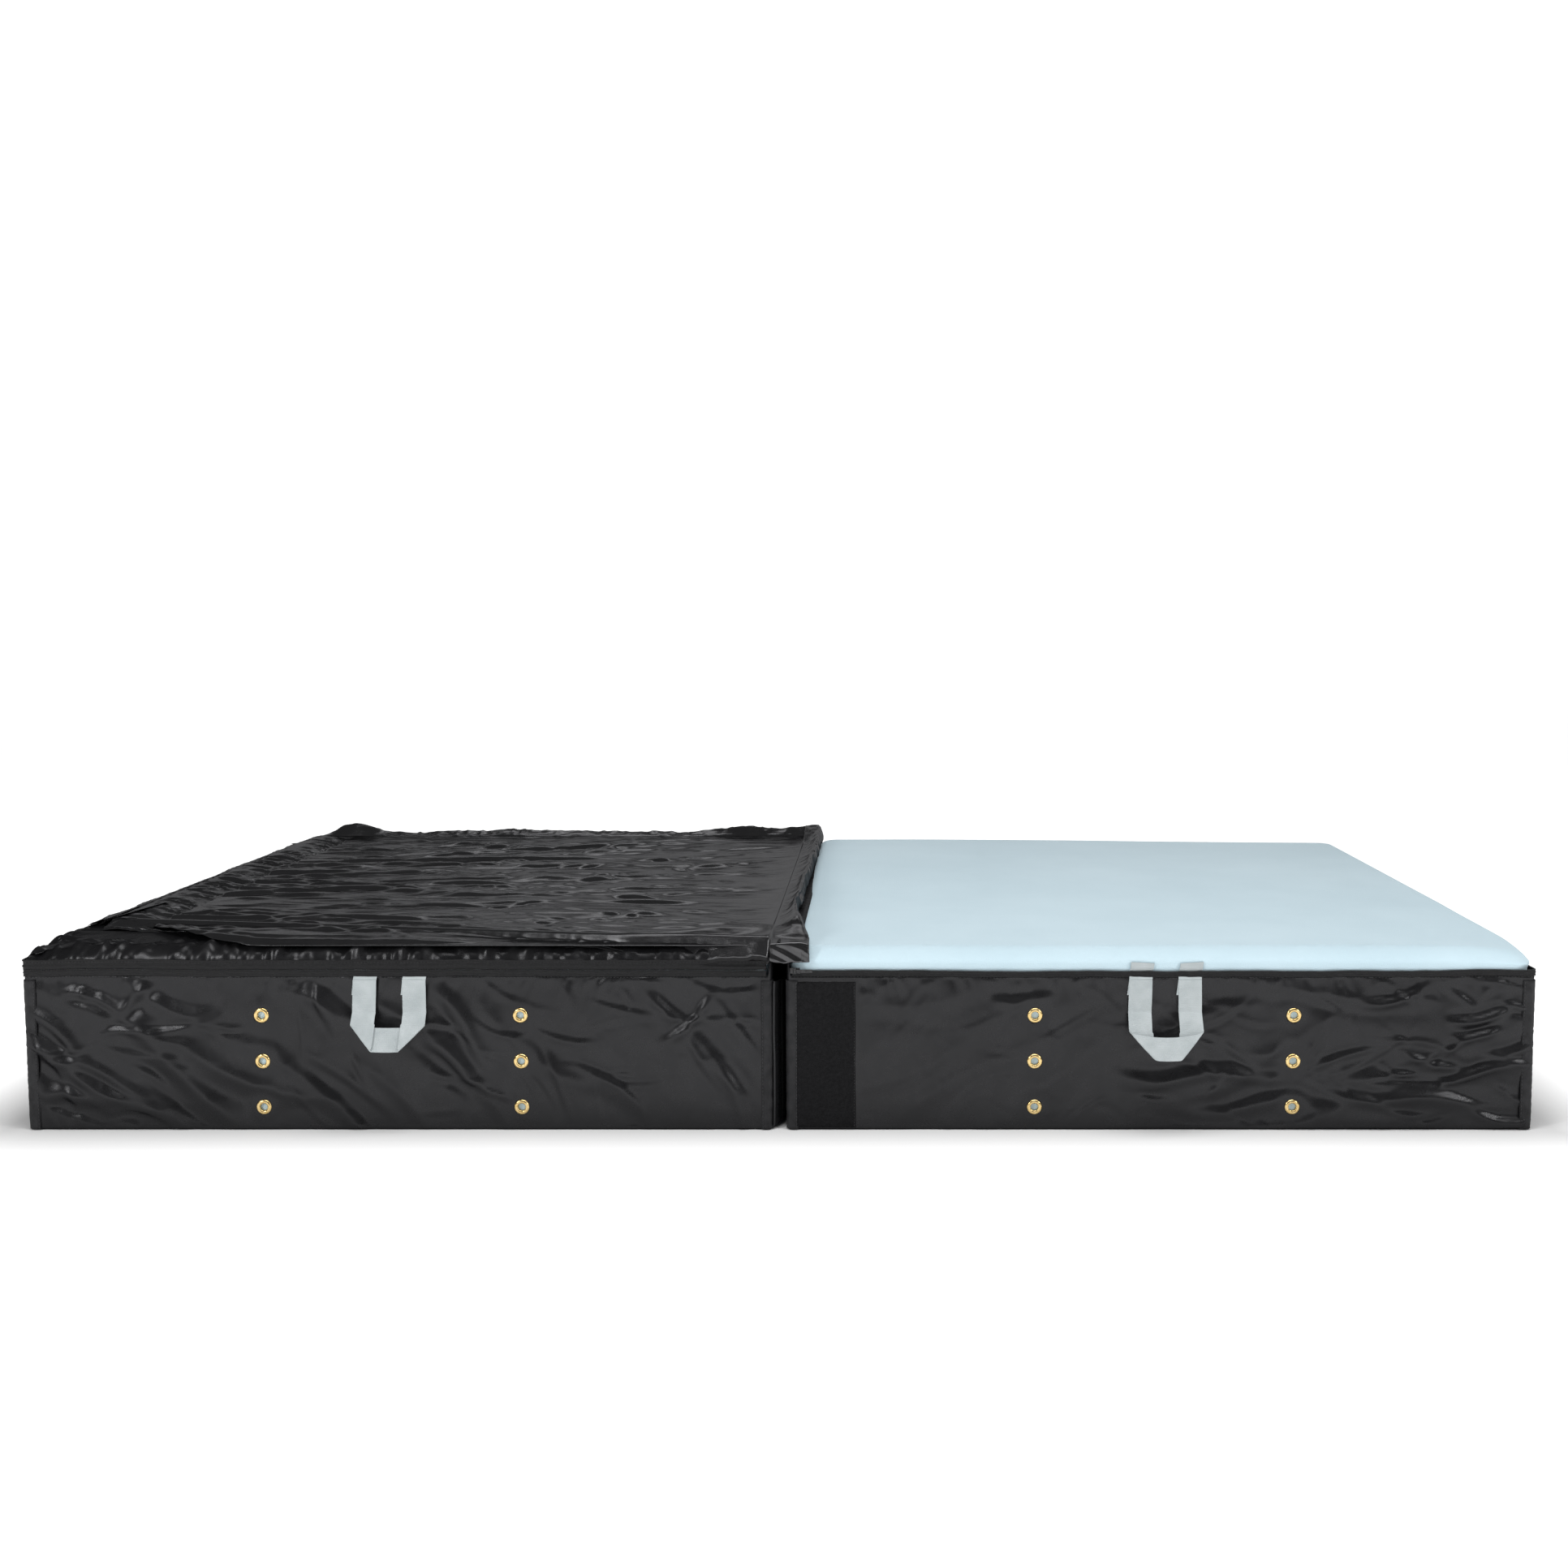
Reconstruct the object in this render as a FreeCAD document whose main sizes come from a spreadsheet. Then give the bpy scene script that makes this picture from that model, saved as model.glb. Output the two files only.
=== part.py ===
# Folding landing mat: two foam blocks in zipped vinyl covers, joined by a cloth hinge along their top edges.
# Millimetres. +X runs along the unfolded mat, +Y towards its back, +Z up. The origin is on the floor under
# the middle of the mat. The right half is shown unzipped, with its lid thrown back over the left half.
import FreeCAD, Part
import math
import os

doc = FreeCAD.newDocument("folding_gym_mat")
sizes = doc.addObject("Spreadsheet::Sheet", "sizes")

DRIVING = [
    ("panel_length", 1219.0, "one half of the mat along X, outside its cover"),
    ("panel_width", 1219.0, "the mat along Y, outside its cover"),
    ("foam_height", 302.0, "thickness of a foam block"),
    ("foam_corner_radius", 30.0, "upright edges of a foam block"),
    ("foam_crown_radius", 26.0, "top edges of a foam block"),
    ("hinge_gap", 24.0, "space between the two halves"),
    ("vinyl", 1.2, "cover cloth"),
    ("cover_slack", 2.2, "room between a wall and the foam"),
    ("fit", 0.3, "clearance between cloth pieces that lie on each other"),
    ("wall_drop", 46.5, "top of the sewn walls, below the top of the foam"),
    ("tape_width", 15.0, "one side of the zipper tape"),
    ("tape_overlap", 7.0, "tape sewn over the cloth"),
    ("tape_thickness", 0.8, "zipper tape"),
    ("tape_offset", 0.1, "from the cloth to the tape on it"),
    ("coil_size", 3.0, "closed zipper coil, across"),
    ("binding_width", 12.0, "corner binding, each side of the corner"),
    ("binding_thickness", 1.0, "corner binding"),
    ("eyelet_bore", 12.0, "ventilation eyelet, hole diameter"),
    ("eyelet_barrel", 14.4, "ventilation eyelet, barrel diameter"),
    ("eyelet_flange", 25.4, "ventilation eyelet, flange diameter"),
    ("eyelet_flange_thickness", 1.4, "ventilation eyelet, rolled flange"),
    ("eyelet_hole", 14.8, "hole punched in the wall"),
    ("washer_diameter", 22.0, "eyelet washer"),
    ("washer_thickness", 0.7, "eyelet washer"),
    ("left_sewing_shift", 12.0, "left half's handles and eyelets, off the middle and away from the hinge"),
    ("right_sewing_shift", 6.0, "right half's handles and eyelets, off the middle and away from the hinge"),
    ("eyelet_column_pitch", 422.0, "between the two columns of eyelets"),
    ("eyelet_row_pitch", 76.2, "between the rows of eyelets"),
    ("eyelet_middle_share", 0.447471, "height of the middle row, as a share of the wall's"),
    ("webbing_width", 38.0, "handle webbing"),
    ("webbing_thickness", 1.6, "handle webbing"),
    ("handle_leg_spacing", 80.0, "middle of one leg of the loop to the other"),
    ("handle_straight", 62.0, "flat part of a leg"),
    ("handle_drop", 108.0, "depth of the loop below its seam"),
    ("handle_stand_off", 2.0, "webbing to the zipper tape and the wall behind it"),
    ("tail_height", 50.0, "webbing sewn inside the wall"),
    ("loop_strip_width", 100.0, "loop tape on the right half"),
    ("loop_strip_thickness", 2.0, "loop tape and hook tape"),
    ("strip_margin", 3.0, "strip to the cloth's edges"),
    ("link_flap_width", 124.0, "flap that bridges the gap when it is in use"),
    ("lid_puff", 12.0, "height of the rumpled lid where it lies"),
    ("lid_lift", 1.6, "lid above the cloth that it lies on"),
    ("lid_shift", 30.0, "middle of the lid's turn-over, from the middle of the mat"),
    ("lid_fold_reach", 46.0, "gap side of the thrown-back lid's flat part, from its turn-over"),
    ("lid_fold_cloth", 2.4, "cloth of the turn-over, with its slack"),
    ("lid_fold_height", 30.0, "turn-over above the foam"),
    ("lid_front_retreat", 175.0, "cloth taken up in the lid's front pleat at its outer end"),
    ("lid_seam_offset", 1.9, "seam between lid and band, outside the cover's wall"),
    ("lid_tape_overlap", 10.0, "zipper tape sewn over the lid's band"),
    ("lid_hem_gap", 1.6, "room at the lid's seams, where the bands fold"),
    ("hinge_margin", 20.0, "hinge cloth sewn on each half"),
    ("hinge_parting", 1.6, "between the two leaves of hinge cloth at the crease"),
    ("slider_length", 16.0, "zipper slider"),
    ("slider_width", 9.0, "zipper slider"),
    ("slider_thickness", 4.0, "zipper slider"),
    ("slider_lift", 3.8, "slider's back to the wall"),
    ("slider_neck", 2.4, "neck of the slider, across the coil"),
    ("slider_post", 1.6, "posts that hold the pull"),
    ("pull_pivot_height", 2.8, "pull's pivot above the slider"),
    ("pull_pin_radius", 1.0, "pin in the slider"),
    ("pull_eye_clearance", 0.08, "pin to the pull's eye, all round"),
    ("pull_eye_wall", 1.2, "wall of the pull's eye"),
    ("pull_length", 28.0, "pull tab"),
    ("pull_thickness", 1.2, "pull tab"),
    ("slider_park", 14.0, "parked slider to the end of the open zipper"),
    ("slider_pair_spacing", 48.0, "between the two sliders of the closed zipper"),
]
for row, (alias, number, words) in enumerate(DRIVING, 1):
    sizes.set(f"A{row}", words)
    sizes.set(f"B{row}", str(number))
    sizes.setAlias(f"B{row}", alias)
doc.recompute()


def sized(text):
    """Writes an expression with plain aliases as one that any object of the document can read."""
    text = text.replace("<wall_height>", "(<vinyl> + <fit> + <foam_height> - <wall_drop>)")
    for alias in sorted((row[0] for row in DRIVING), key=len, reverse=True):
        text = text.replace(f"<{alias}>", f"sizes.{alias}")
    return f"({text})"


# Levels and outlines that several pieces share, as expressions on the sheet.
half_gap = sized("<hinge_gap> / 2")
length = sized("<panel_length>")
width = sized("<panel_width>")
vinyl = sized("<vinyl>")
foam_inset = sized("<vinyl> + <cover_slack>")
foam_base = sized("<vinyl> + <fit>")
foam_top = sized("<vinyl> + <fit> + <foam_height>")
sheet_base = sized("<vinyl> + 2 * <fit> + <foam_height>")
sheet_top = sized("2 * <vinyl> + 2 * <fit> + <foam_height>")
tape_base = sized("<wall_height> - <tape_overlap>")
coil_base = sized("<wall_height> - <tape_overlap> + <tape_width>")
upper_tape_base = sized("<wall_height> - <tape_overlap> + <tape_width> + <coil_size>")
band_base = sized("<wall_height> - 2 * <tape_overlap> + 2 * <tape_width> + <coil_size>")
lid_base = f"({sheet_top} + sizes.lid_lift)"
lid_top = f"({lid_base} + sizes.lid_puff)"
lid_seam = f"({lid_top} + sizes.fit + {vinyl} / 2)"
fold_axis = f"(({lid_seam} + {foam_top} + 2 * {vinyl} + 2 * sizes.tape_thickness + sizes.fit) / 2)"
lid_band_height = f"(2 * {fold_axis} - {lid_seam} - {band_base})"
lid_end = f"(2 * sizes.lid_shift - {half_gap} - {length} - sizes.lid_seam_offset)"
lid_start = "(sizes.lid_shift - sizes.lid_fold_reach)"
lid_edge = f"({lid_start} - {lid_end})"
lid_edge_y = f"({width} / 2 + sizes.lid_seam_offset)"
lid_slant = f"asin(sizes.lid_front_retreat / {lid_edge})"


def number(expression):
    """The value of an expression on the sheet, in millimetres or degrees."""
    found = sizes.evalExpression(expression)
    return float(getattr(found, "Value", found))


def place(piece, corner):
    """Binds where a piece's own corner or centre stands."""
    for axis, expression in zip("xyz", corner):
        piece.setExpression(f"Placement.Base.{axis}", expression)
    return piece


def box(name, corner, size):
    """A rectangular piece from its lowest corner and its three sizes."""
    piece = doc.addObject("Part::Box", name)
    for side, expression in zip(("Length", "Width", "Height"), size):
        piece.setExpression(side, expression)
    return place(piece, corner)


def rod(name, centre, radius, height, direction):
    """A round piece from the middle of its first end."""
    piece = doc.addObject("Part::Cylinder", name)
    piece.Placement = FreeCAD.Placement(FreeCAD.Vector(), FreeCAD.Rotation(FreeCAD.Vector(0, 0, 1), direction))
    piece.setExpression("Radius", radius)
    piece.setExpression("Height", height)
    return place(piece, centre)


def fuse(name, pieces):
    """Several pieces as one, or as a group where they don't touch."""
    joined = doc.addObject("Part::MultiFuse", name)
    joined.Shapes = pieces
    return joined


def cut(name, base, tool):
    """The first piece with the second taken out."""
    left = doc.addObject("Part::Cut", name)
    left.Base = base
    left.Tool = tool
    return left


def finished(piece, label):
    """Marks a piece as a sub-part, which is exported under that name."""
    piece.Label = label
    parts.append(piece)
    return piece


parts = []


def from_hinge(side, offset, run):
    """Lowest x of a piece that starts at an offset from a half's hinge side and runs outwards."""
    if side == "right":
        return f"({half_gap} + {offset})"
    return f"(-{half_gap} - ({offset}) - ({run}))"


def from_face(face, offset, depth):
    """Lowest y of a piece that starts at an offset inwards from the front or back and goes inwards."""
    if face == "front":
        return f"(-{width} / 2 + {offset})"
    return f"({width} / 2 - ({offset}) - ({depth}))"


def half_centre(side):
    """The middle of one half along X."""
    sign = "" if side == "right" else "-"
    return f"({sign}({half_gap} + {length} / 2))"


def sewn_middle(side):
    """Where the front and back handles and eyelets of a half are centred along X."""
    sign = "+" if side == "right" else "-"
    return f"({half_centre(side)} {sign} sizes.{side}_sewing_shift)"


def three_sides(name, side, inset, thickness, base, height):
    """A strip that runs round the front, outer end and back of a half, its outer face inset from the cover's."""
    run = f"({length} - ({inset}))"
    strips = [
        box(f"{name}_{face}", [from_hinge(side, "0", run), from_face(face, inset, thickness), base],
            [run, thickness, height])
        for face in ("front", "back")
    ]
    start = f"({length} - ({inset}) - ({thickness}))"
    strips.append(box(f"{name}_end", [from_hinge(side, start, thickness), f"(-{width} / 2 + ({inset}))", base],
                      [thickness, f"({width} - 2 * ({inset}))", height]))
    return fuse(name, strips)


# ---- Foam blocks: one per half, upright edges and top edges rounded.
def foam_block(side):
    body = doc.addObject("PartDesign::Body", f"{side}_foam")
    sketch = body.newObject("Sketcher::SketchObject", f"{side}_foam_outline")
    plane = next(f for f in body.Origin.OriginFeatures if f.Role == "XY_Plane")
    sketch.AttachmentSupport = [(plane, "")]
    sketch.MapMode = "FlatFace"
    corners = [FreeCAD.Vector(x, y, 0) for x, y in ((-9, -9), (9, -9), (9, 9), (-9, 9))]
    for first, second in zip(corners, corners[1:] + corners[:1]):
        sketch.addGeometry(Part.LineSegment(first, second), False)
    import Sketcher
    for line in range(4):
        sketch.addConstraint(Sketcher.Constraint("Coincident", line, 2, (line + 1) % 4, 1))
    for line in (0, 2):
        sketch.addConstraint(Sketcher.Constraint("Horizontal", line))
    for line in (1, 3):
        sketch.addConstraint(Sketcher.Constraint("Vertical", line))
    sketch.addConstraint(Sketcher.Constraint("Symmetric", 0, 1, 1, 2, -1, 1))
    along = sketch.addConstraint(Sketcher.Constraint("DistanceX", 0, 1, 0, 2, 18.0))
    across = sketch.addConstraint(Sketcher.Constraint("DistanceY", 1, 1, 1, 2, 18.0))
    sketch.setExpression(f"Constraints[{along}]", f"{length} - 2 * {foam_inset}")
    sketch.setExpression(f"Constraints[{across}]", f"{width} - 2 * {foam_inset}")
    pad = body.newObject("PartDesign::Pad", f"{side}_foam_pad")
    pad.Profile = sketch
    pad.setExpression("Length", sized("<foam_height>"))
    doc.recompute()
    upright = [i for i, e in enumerate(pad.Shape.Edges, 1) if abs(e.tangentAt(e.FirstParameter).z) > 0.9]
    corner_fillet = body.newObject("PartDesign::Fillet", f"{side}_foam_corners")
    corner_fillet.Base = (pad, [f"Edge{i}" for i in upright])
    corner_fillet.setExpression("Radius", sized("<foam_corner_radius>"))
    doc.recompute()
    top = corner_fillet.Shape.BoundBox.ZMax
    rim = [i for i, e in enumerate(corner_fillet.Shape.Edges, 1) if e.BoundBox.ZMin > top - 0.01]
    crown_fillet = body.newObject("PartDesign::Fillet", f"{side}_foam_crown")
    crown_fillet.Base = (corner_fillet, [f"Edge{rim[0]}"])
    crown_fillet.setExpression("Radius", sized("<foam_crown_radius>"))
    body.Tip = crown_fillet
    place(body, [half_centre(side), "0", foam_base])
    finished(body, f"{side}_foam_block")


# ---- Cover of one half: base, walls, corner bindings and the lower half of the zipper.
def eyelet_places(side):
    """Middle of every eyelet on a wall, as x and z expressions."""
    return [
        (f"({sewn_middle(side)} + ({column}) * sizes.eyelet_column_pitch / 2)",
         f"({sized('<wall_height> * <eyelet_middle_share>')} + ({row}) * sizes.eyelet_row_pitch)")
        for column in (-1, 1) for row in (-1, 0, 1)
    ]


def eyelet_rods(name, side, face, outer, diameter, depth):
    """One rod at each eyelet of a wall, from an offset outside the wall's outer face, going inwards."""
    sign, direction = ("-", FreeCAD.Vector(0, 1, 0)) if face == "front" else ("", FreeCAD.Vector(0, -1, 0))
    y = f"({sign}({width} / 2 + {outer}))"
    return [rod(f"{name}_{i}", [x, y, z], f"({diameter} / 2)", depth, direction)
            for i, (x, z) in enumerate(eyelet_places(side))]


def side_wall(side, face):
    """Front or back wall, punched for its eyelets."""
    name = f"{side}_{face}"
    plain = box(f"{name}_cloth", [from_hinge(side, "0", length), from_face(face, "0", vinyl), vinyl],
                [length, vinyl, sized("<wall_height> - <vinyl>")])
    holes = fuse(f"{name}_holes", eyelet_rods(f"{name}_hole", side, face, sized("<vinyl>"),
                                              sized("<eyelet_hole>"), sized("3 * <vinyl>")))
    finished(cut(f"{name}_punched", plain, holes), f"{name}_wall")


def end_wall(side, end):
    """Outer end wall, or the hinge wall, which goes up to the top of the foam."""
    start = "0" if end == "hinge" else f"({length} - {vinyl})"
    top = foam_top if end == "hinge" else sized("<wall_height>")
    wall = box(f"{side}_{end}_cloth", [from_hinge(side, start, vinyl), f"(-{width} / 2 + {vinyl})", vinyl],
               [vinyl, f"({width} - 2 * {vinyl})", f"({top} - {vinyl})"])
    finished(wall, f"{side}_{end}_wall")


def corner_bindings(side):
    """Four upright strips folded round the corners of the walls, kept as one group."""
    thick, reach = sized("<binding_thickness>"), sized("<binding_width> + <binding_thickness>")
    clear = sized("<binding_thickness> + <fit> / 3")
    height = sized("<wall_height> - <tape_overlap> - <fit> - <vinyl>")
    strips = []
    for face in ("front", "back"):
        for end, start in (("hinge", f"(-({clear}))"), ("outer", f"({length} + {clear} - {reach})")):
            outer = box(f"{side}_{face}_{end}_binding",
                        [from_hinge(side, start, reach), from_face(face, f"(-({clear}))", reach), vinyl],
                        [reach, reach, height])
            inner_start = f"(-({clear}) + {thick})" if end == "hinge" else f"({start} - {thick})"
            inner = box(f"{side}_{face}_{end}_binding_room",
                        [from_hinge(side, inner_start, reach),
                         from_face(face, f"(-({clear}) + {thick})", reach), "0"],
                        [reach, reach, sized("2 * <wall_height>")])
            strips.append(cut(f"{side}_{face}_{end}_binding_strip", outer, inner))
    finished(fuse(f"{side}_bindings", strips), f"{side}_corner_bindings")


def eyelets(side, face):
    """Brass eyelets: a rolled flange outside the wall and a barrel through it."""
    name = f"{side}_{face}_eyelet"
    flange, lift = sized("<eyelet_flange_thickness>"), sized("<fit> / 3")
    outer = f"({flange} + {lift})"
    flanges = eyelet_rods(f"{name}_flange", side, face, outer, sized("<eyelet_flange>"), flange)
    reach = f"({outer} + sizes.vinyl + sizes.washer_thickness + sizes.fit)"
    barrels = eyelet_rods(f"{name}_barrel", side, face, outer, sized("<eyelet_barrel>"), reach)
    bores = eyelet_rods(f"{name}_bore", side, face, f"(2 * {outer})", sized("<eyelet_bore>"), f"(3 * {reach})")
    solid = fuse(f"{name}_blanks", flanges + barrels)
    finished(cut(f"{name}_rings", solid, fuse(f"{name}_bores", bores)), f"{name}s")


def eyelet_washers(side):
    """Brass washers that the eyelets are set against, inside both walls, kept as one group."""
    blanks, holes = [], []
    for face in ("front", "back"):
        name = f"{side}_{face}_washer"
        inner = sized("-<vinyl> - <fit> / 3")
        blanks += eyelet_rods(name, side, face, inner, sized("<washer_diameter>"), sized("<washer_thickness>"))
        holes += eyelet_rods(f"{name}_hole", side, face, "0", sized("<eyelet_hole>"), sized("4 * <vinyl>"))
    rings = cut(f"{side}_washers", fuse(f"{side}_washer_blanks", blanks), fuse(f"{side}_washer_holes", holes))
    finished(rings, f"{side}_eyelet_washers")


# ---- Handles: a loop of webbing that hangs from the seam under the zipper, and its sewn tails inside the wall.
def handle_loop():
    """The loop in its own frame: seam at the origin, wall behind it at y = 0, hanging down."""
    half = number(sized("<handle_leg_spacing>")) / 2
    straight, drop = number(sized("<handle_straight>")), number(sized("<handle_drop>"))
    wide, thick = number(sized("<webbing_width>")) / 2, number(sized("<webbing_thickness>")) / 2
    stand_off = number(sized("<handle_stand_off>")) + thick
    lift = drop - straight

    def leg_frame(turn):
        """Middle, width direction and thickness direction of the left leg after a turn, in degrees."""
        a = math.radians(turn)
        middle = FreeCAD.Vector(-half * math.cos(a), -stand_off - wide * math.sin(a),
                                -straight - lift * math.sin(a))
        across = FreeCAD.Vector(math.cos(a) ** 2, -math.sin(a), math.cos(a) * math.sin(a))
        run = FreeCAD.Vector(math.sin(a), 0, -math.cos(a))
        return middle, across.normalize(), run.cross(across).normalize()

    def outline(middle, across, through, mirrored):
        """The webbing's rectangle, mirrored for the right leg, its corners in the same order."""
        corners = []
        for i, j in ((-1, -1), (1, -1), (1, 1), (-1, 1)):
            corner = middle + across * wide * i + through * thick * j
            corners.append(FreeCAD.Vector(-corner.x, corner.y, corner.z) if mirrored else corner)
        return Part.makePolygon(corners + corners[:1])

    top = FreeCAD.Vector(-half, -stand_off, 0), FreeCAD.Vector(1, 0, 0), FreeCAD.Vector(0, -1, 0)
    frames = [top] + [leg_frame(turn) for turn in (0, 30, 60, 90)]
    left = Part.makeLoft([outline(*f, False) for f in frames], True, True)
    right = Part.makeLoft([outline(*f, True) for f in frames], True, True)
    return left.fuse(right).removeSplitter()


def handles(side):
    """Front, back and outer end handle of a half, each a node of its own, and their tails as one group."""
    loop = handle_loop()
    middle = number(sewn_middle(side))
    outward = 1 if side == "right" else -1
    reach, seam = number(width) / 2, number(sized("<wall_height> - <tape_overlap> - <fit>"))
    outer_end = outward * (number(half_gap) + number(length))
    stands = {
        "front": (FreeCAD.Vector(middle, -reach, seam), 0),
        "back": (FreeCAD.Vector(middle, reach, seam), 180),
        "end": (FreeCAD.Vector(outer_end, 0, seam), 90 * outward),
    }
    tail_size = [number(sized(t)) for t in ("<webbing_width>", "<webbing_thickness>", "<tail_height>")]
    tails = []
    for face, (foot, turn) in stands.items():
        where = FreeCAD.Placement(foot, FreeCAD.Rotation(FreeCAD.Vector(0, 0, 1), turn))
        handle = doc.addObject("Part::Feature", f"{side}_{face}_webbing")
        handle.Shape = loop
        handle.Placement = where
        finished(handle, f"{side}_{face}_handle")
        for leg in (-1, 1):
            x = leg * number(sized("<handle_leg_spacing>")) / 2 - tail_size[0] / 2
            tail = Part.makeBox(*tail_size, FreeCAD.Vector(x, number(sized("<vinyl> + <fit> / 2")), -25))
            tail.Placement = where.multiply(tail.Placement)
            tails.append(tail)
    group = doc.addObject("Part::Feature", f"{side}_tails")
    group.Shape = Part.makeCompound(tails)
    finished(group, f"{side}_handle_tails")


# ---- Zipper: tapes, coil, sliders and pulls.
def lower_zipper(side):
    """Tape along the top of the walls, and its coil: the whole coil where it's closed, half where it's open."""
    outside = sized("-<tape_thickness> - <tape_offset>")
    tape = three_sides(f"{side}_tape", side, outside, sized("<tape_thickness>"), tape_base, sized("<tape_width>"))
    finished(tape, f"{side}_lower_zip_tape")
    coil_height = sized("<coil_size>") if side == "left" else sized("<coil_size> / 2")
    coil = three_sides(f"{side}_coil", side, outside, sized("<coil_size> / 2"), coil_base, coil_height)
    finished(coil, f"{side}_zip_coil")


def slider_shapes(name):
    """A slider with its pull pin in its own frame, the zipper along X and the outside towards -Y, and its pull."""
    long, wide, thick = (sized(t) for t in ("<slider_length>", "<slider_width>", "<slider_thickness>"))
    post, pivot = sized("<slider_post>"), sized("<slider_thickness> + <pull_pivot_height>")
    pin = sized("<pull_pin_radius>")
    body = box(f"{name}_body", [f"(-{long} / 2)", f"(-{thick})", f"(-{wide} / 2)"], [long, thick, wide])
    neck = box(f"{name}_neck", [f"(-{long} / 4)", f"(-{thick} / 2)", f"(-{post})"],
               [f"({long} / 2)", f"({thick} / 2 + sizes.slider_lift - sizes.tape_thickness - 2 * sizes.tape_offset)",
                sized("<slider_neck>")])
    neck.setExpression("Placement.Base.z", "(-sizes.slider_neck / 2)")
    pieces = [body, neck, rod(f"{name}_pin", ["0", f"(-{pivot})", f"(-{wide} / 2)"], pin, wide, FreeCAD.Vector(0, 0, 1))]
    for i, z in enumerate((f"(-{wide} / 2)", f"({wide} / 2 - {post})")):
        pieces.append(box(f"{name}_post_{i}", [f"(-2 * {pin})", f"(-{pivot} - 1.5 * {pin})", z],
                          [f"(4 * {pin})", f"({pivot} + 1.5 * {pin} - {thick} / 2)", post]))
    inner = sized("<pull_pin_radius> + <pull_eye_clearance>")
    outer = sized("<pull_pin_radius> + <pull_eye_clearance> + <pull_eye_wall>")
    tall = f"({wide} - 2 * {post} - 2 * sizes.fit)"
    foot = ["0", f"(-{pivot})", f"(-{tall} / 2)"]
    tab = box(f"{name}_tab", ["0", f"(-{pivot} - sizes.pull_thickness / 2)", f"(-{tall} / 2)"],
              [sized("<pull_length>"), sized("<pull_thickness>"), tall])
    eye = rod(f"{name}_eye", foot, outer, tall, FreeCAD.Vector(0, 0, 1))
    hole = rod(f"{name}_eye_hole", ["0", f"(-{pivot})", f"(-{wide})"], inner, f"(2 * {wide})", FreeCAD.Vector(0, 0, 1))
    return fuse(f"{name}_slider", pieces), cut(f"{name}_pull", fuse(f"{name}_pull_blank", [tab, eye]), hole)


def slider(name, at, turn):
    """A slider and its pull, standing on the coil, turned from the front of the mat to where they belong."""
    for piece, label in zip(slider_shapes(name), (f"{name}_slider", f"{name}_pull")):
        piece.Placement = FreeCAD.Placement(FreeCAD.Vector(), turn)
        place(piece, at)
        finished(piece, label)


def sliders():
    """Two sliders a half: at the hinge ends of the open zipper, and as a pair on the outer end of the closed one."""
    height, lift = f"({coil_base} + sizes.coil_size / 2)", sized("<slider_lift>")
    along, across, up = (FreeCAD.Vector(*v) for v in ((1, 0, 0), (0, 1, 0), (0, 0, 1)))
    to_end = FreeCAD.Rotation(up, -90)
    turns = {"front": (FreeCAD.Rotation(), to_end),
             "back": (FreeCAD.Rotation(along, 180), to_end.multiply(FreeCAD.Rotation(across, 180)))}
    for face, sign in (("front", "-"), ("back", "")):
        at = [f"({half_gap} + sizes.slider_park)", f"({sign}({width} / 2 + {lift}))", height]
        slider(f"right_{face}_zip", at, turns[face][0])
        at = [f"(-{half_gap} - {length} - {lift})", f"({sign}sizes.slider_pair_spacing / 2)", height]
        slider(f"left_{face}_zip", at, turns[face][1])


# ---- Hook-and-loop link between the halves: loop strips on the right, folded-in flaps with hooks on the left.
def links():
    """Loop strips on the right half's walls, and the left half's flaps, stowed in the gap."""
    strip, margin = sized("<loop_strip_thickness>"), sized("<strip_margin>")
    base, tall = f"({vinyl} + {margin})", f"({tape_base} - {vinyl} - 2 * {margin})"
    flaps, hooks = [], []
    flap_x = f"(-{half_gap} + sizes.binding_thickness + sizes.fit)"
    for face in ("front", "back"):
        loop = box(f"{face}_loop", [from_hinge("right", sized("<binding_width> + <fit>"), "0"),
                                    from_face(face, f"(-({strip}) - sizes.fit / 3)", strip), base],
                   [sized("<loop_strip_width>"), strip, tall])
        finished(loop, f"right_{face}_loop_strip")
        deep = sized("<link_flap_width> - <loop_strip_width>")
        flaps.append(box(f"{face}_flap", [flap_x, from_face(face, "0", sized("<link_flap_width>")), base],
                         [vinyl, sized("<link_flap_width>"), tall]))
        hooks.append(box(f"{face}_hook", [f"({flap_x} + {vinyl} + sizes.fit / 3)",
                                          from_face(face, deep, sized("<loop_strip_width>")), base],
                         [strip, sized("<loop_strip_width>"), tall]))
    finished(fuse("flaps", flaps), "left_link_flaps")
    finished(fuse("hooks", hooks), "left_hook_strips")


# ---- Left lid, zipped shut: top sheet, the band below it and the upper zipper tape.
def left_lid():
    top = box("left_top_cloth", [from_hinge("left", "0", length), f"(-{width} / 2)", sheet_base],
              [length, width, vinyl])
    finished(top, "left_lid_sheet")
    band = three_sides("left_band", "left", "0", vinyl, band_base, f"({sheet_base} - {band_base})")
    finished(band, "left_lid_band")
    tape = three_sides("left_upper_tape", "left", sized("-<tape_thickness> - <tape_offset>"),
                       sized("<tape_thickness>"), upper_tape_base, sized("<tape_width>"))
    finished(tape, "left_upper_zip_tape")


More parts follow.
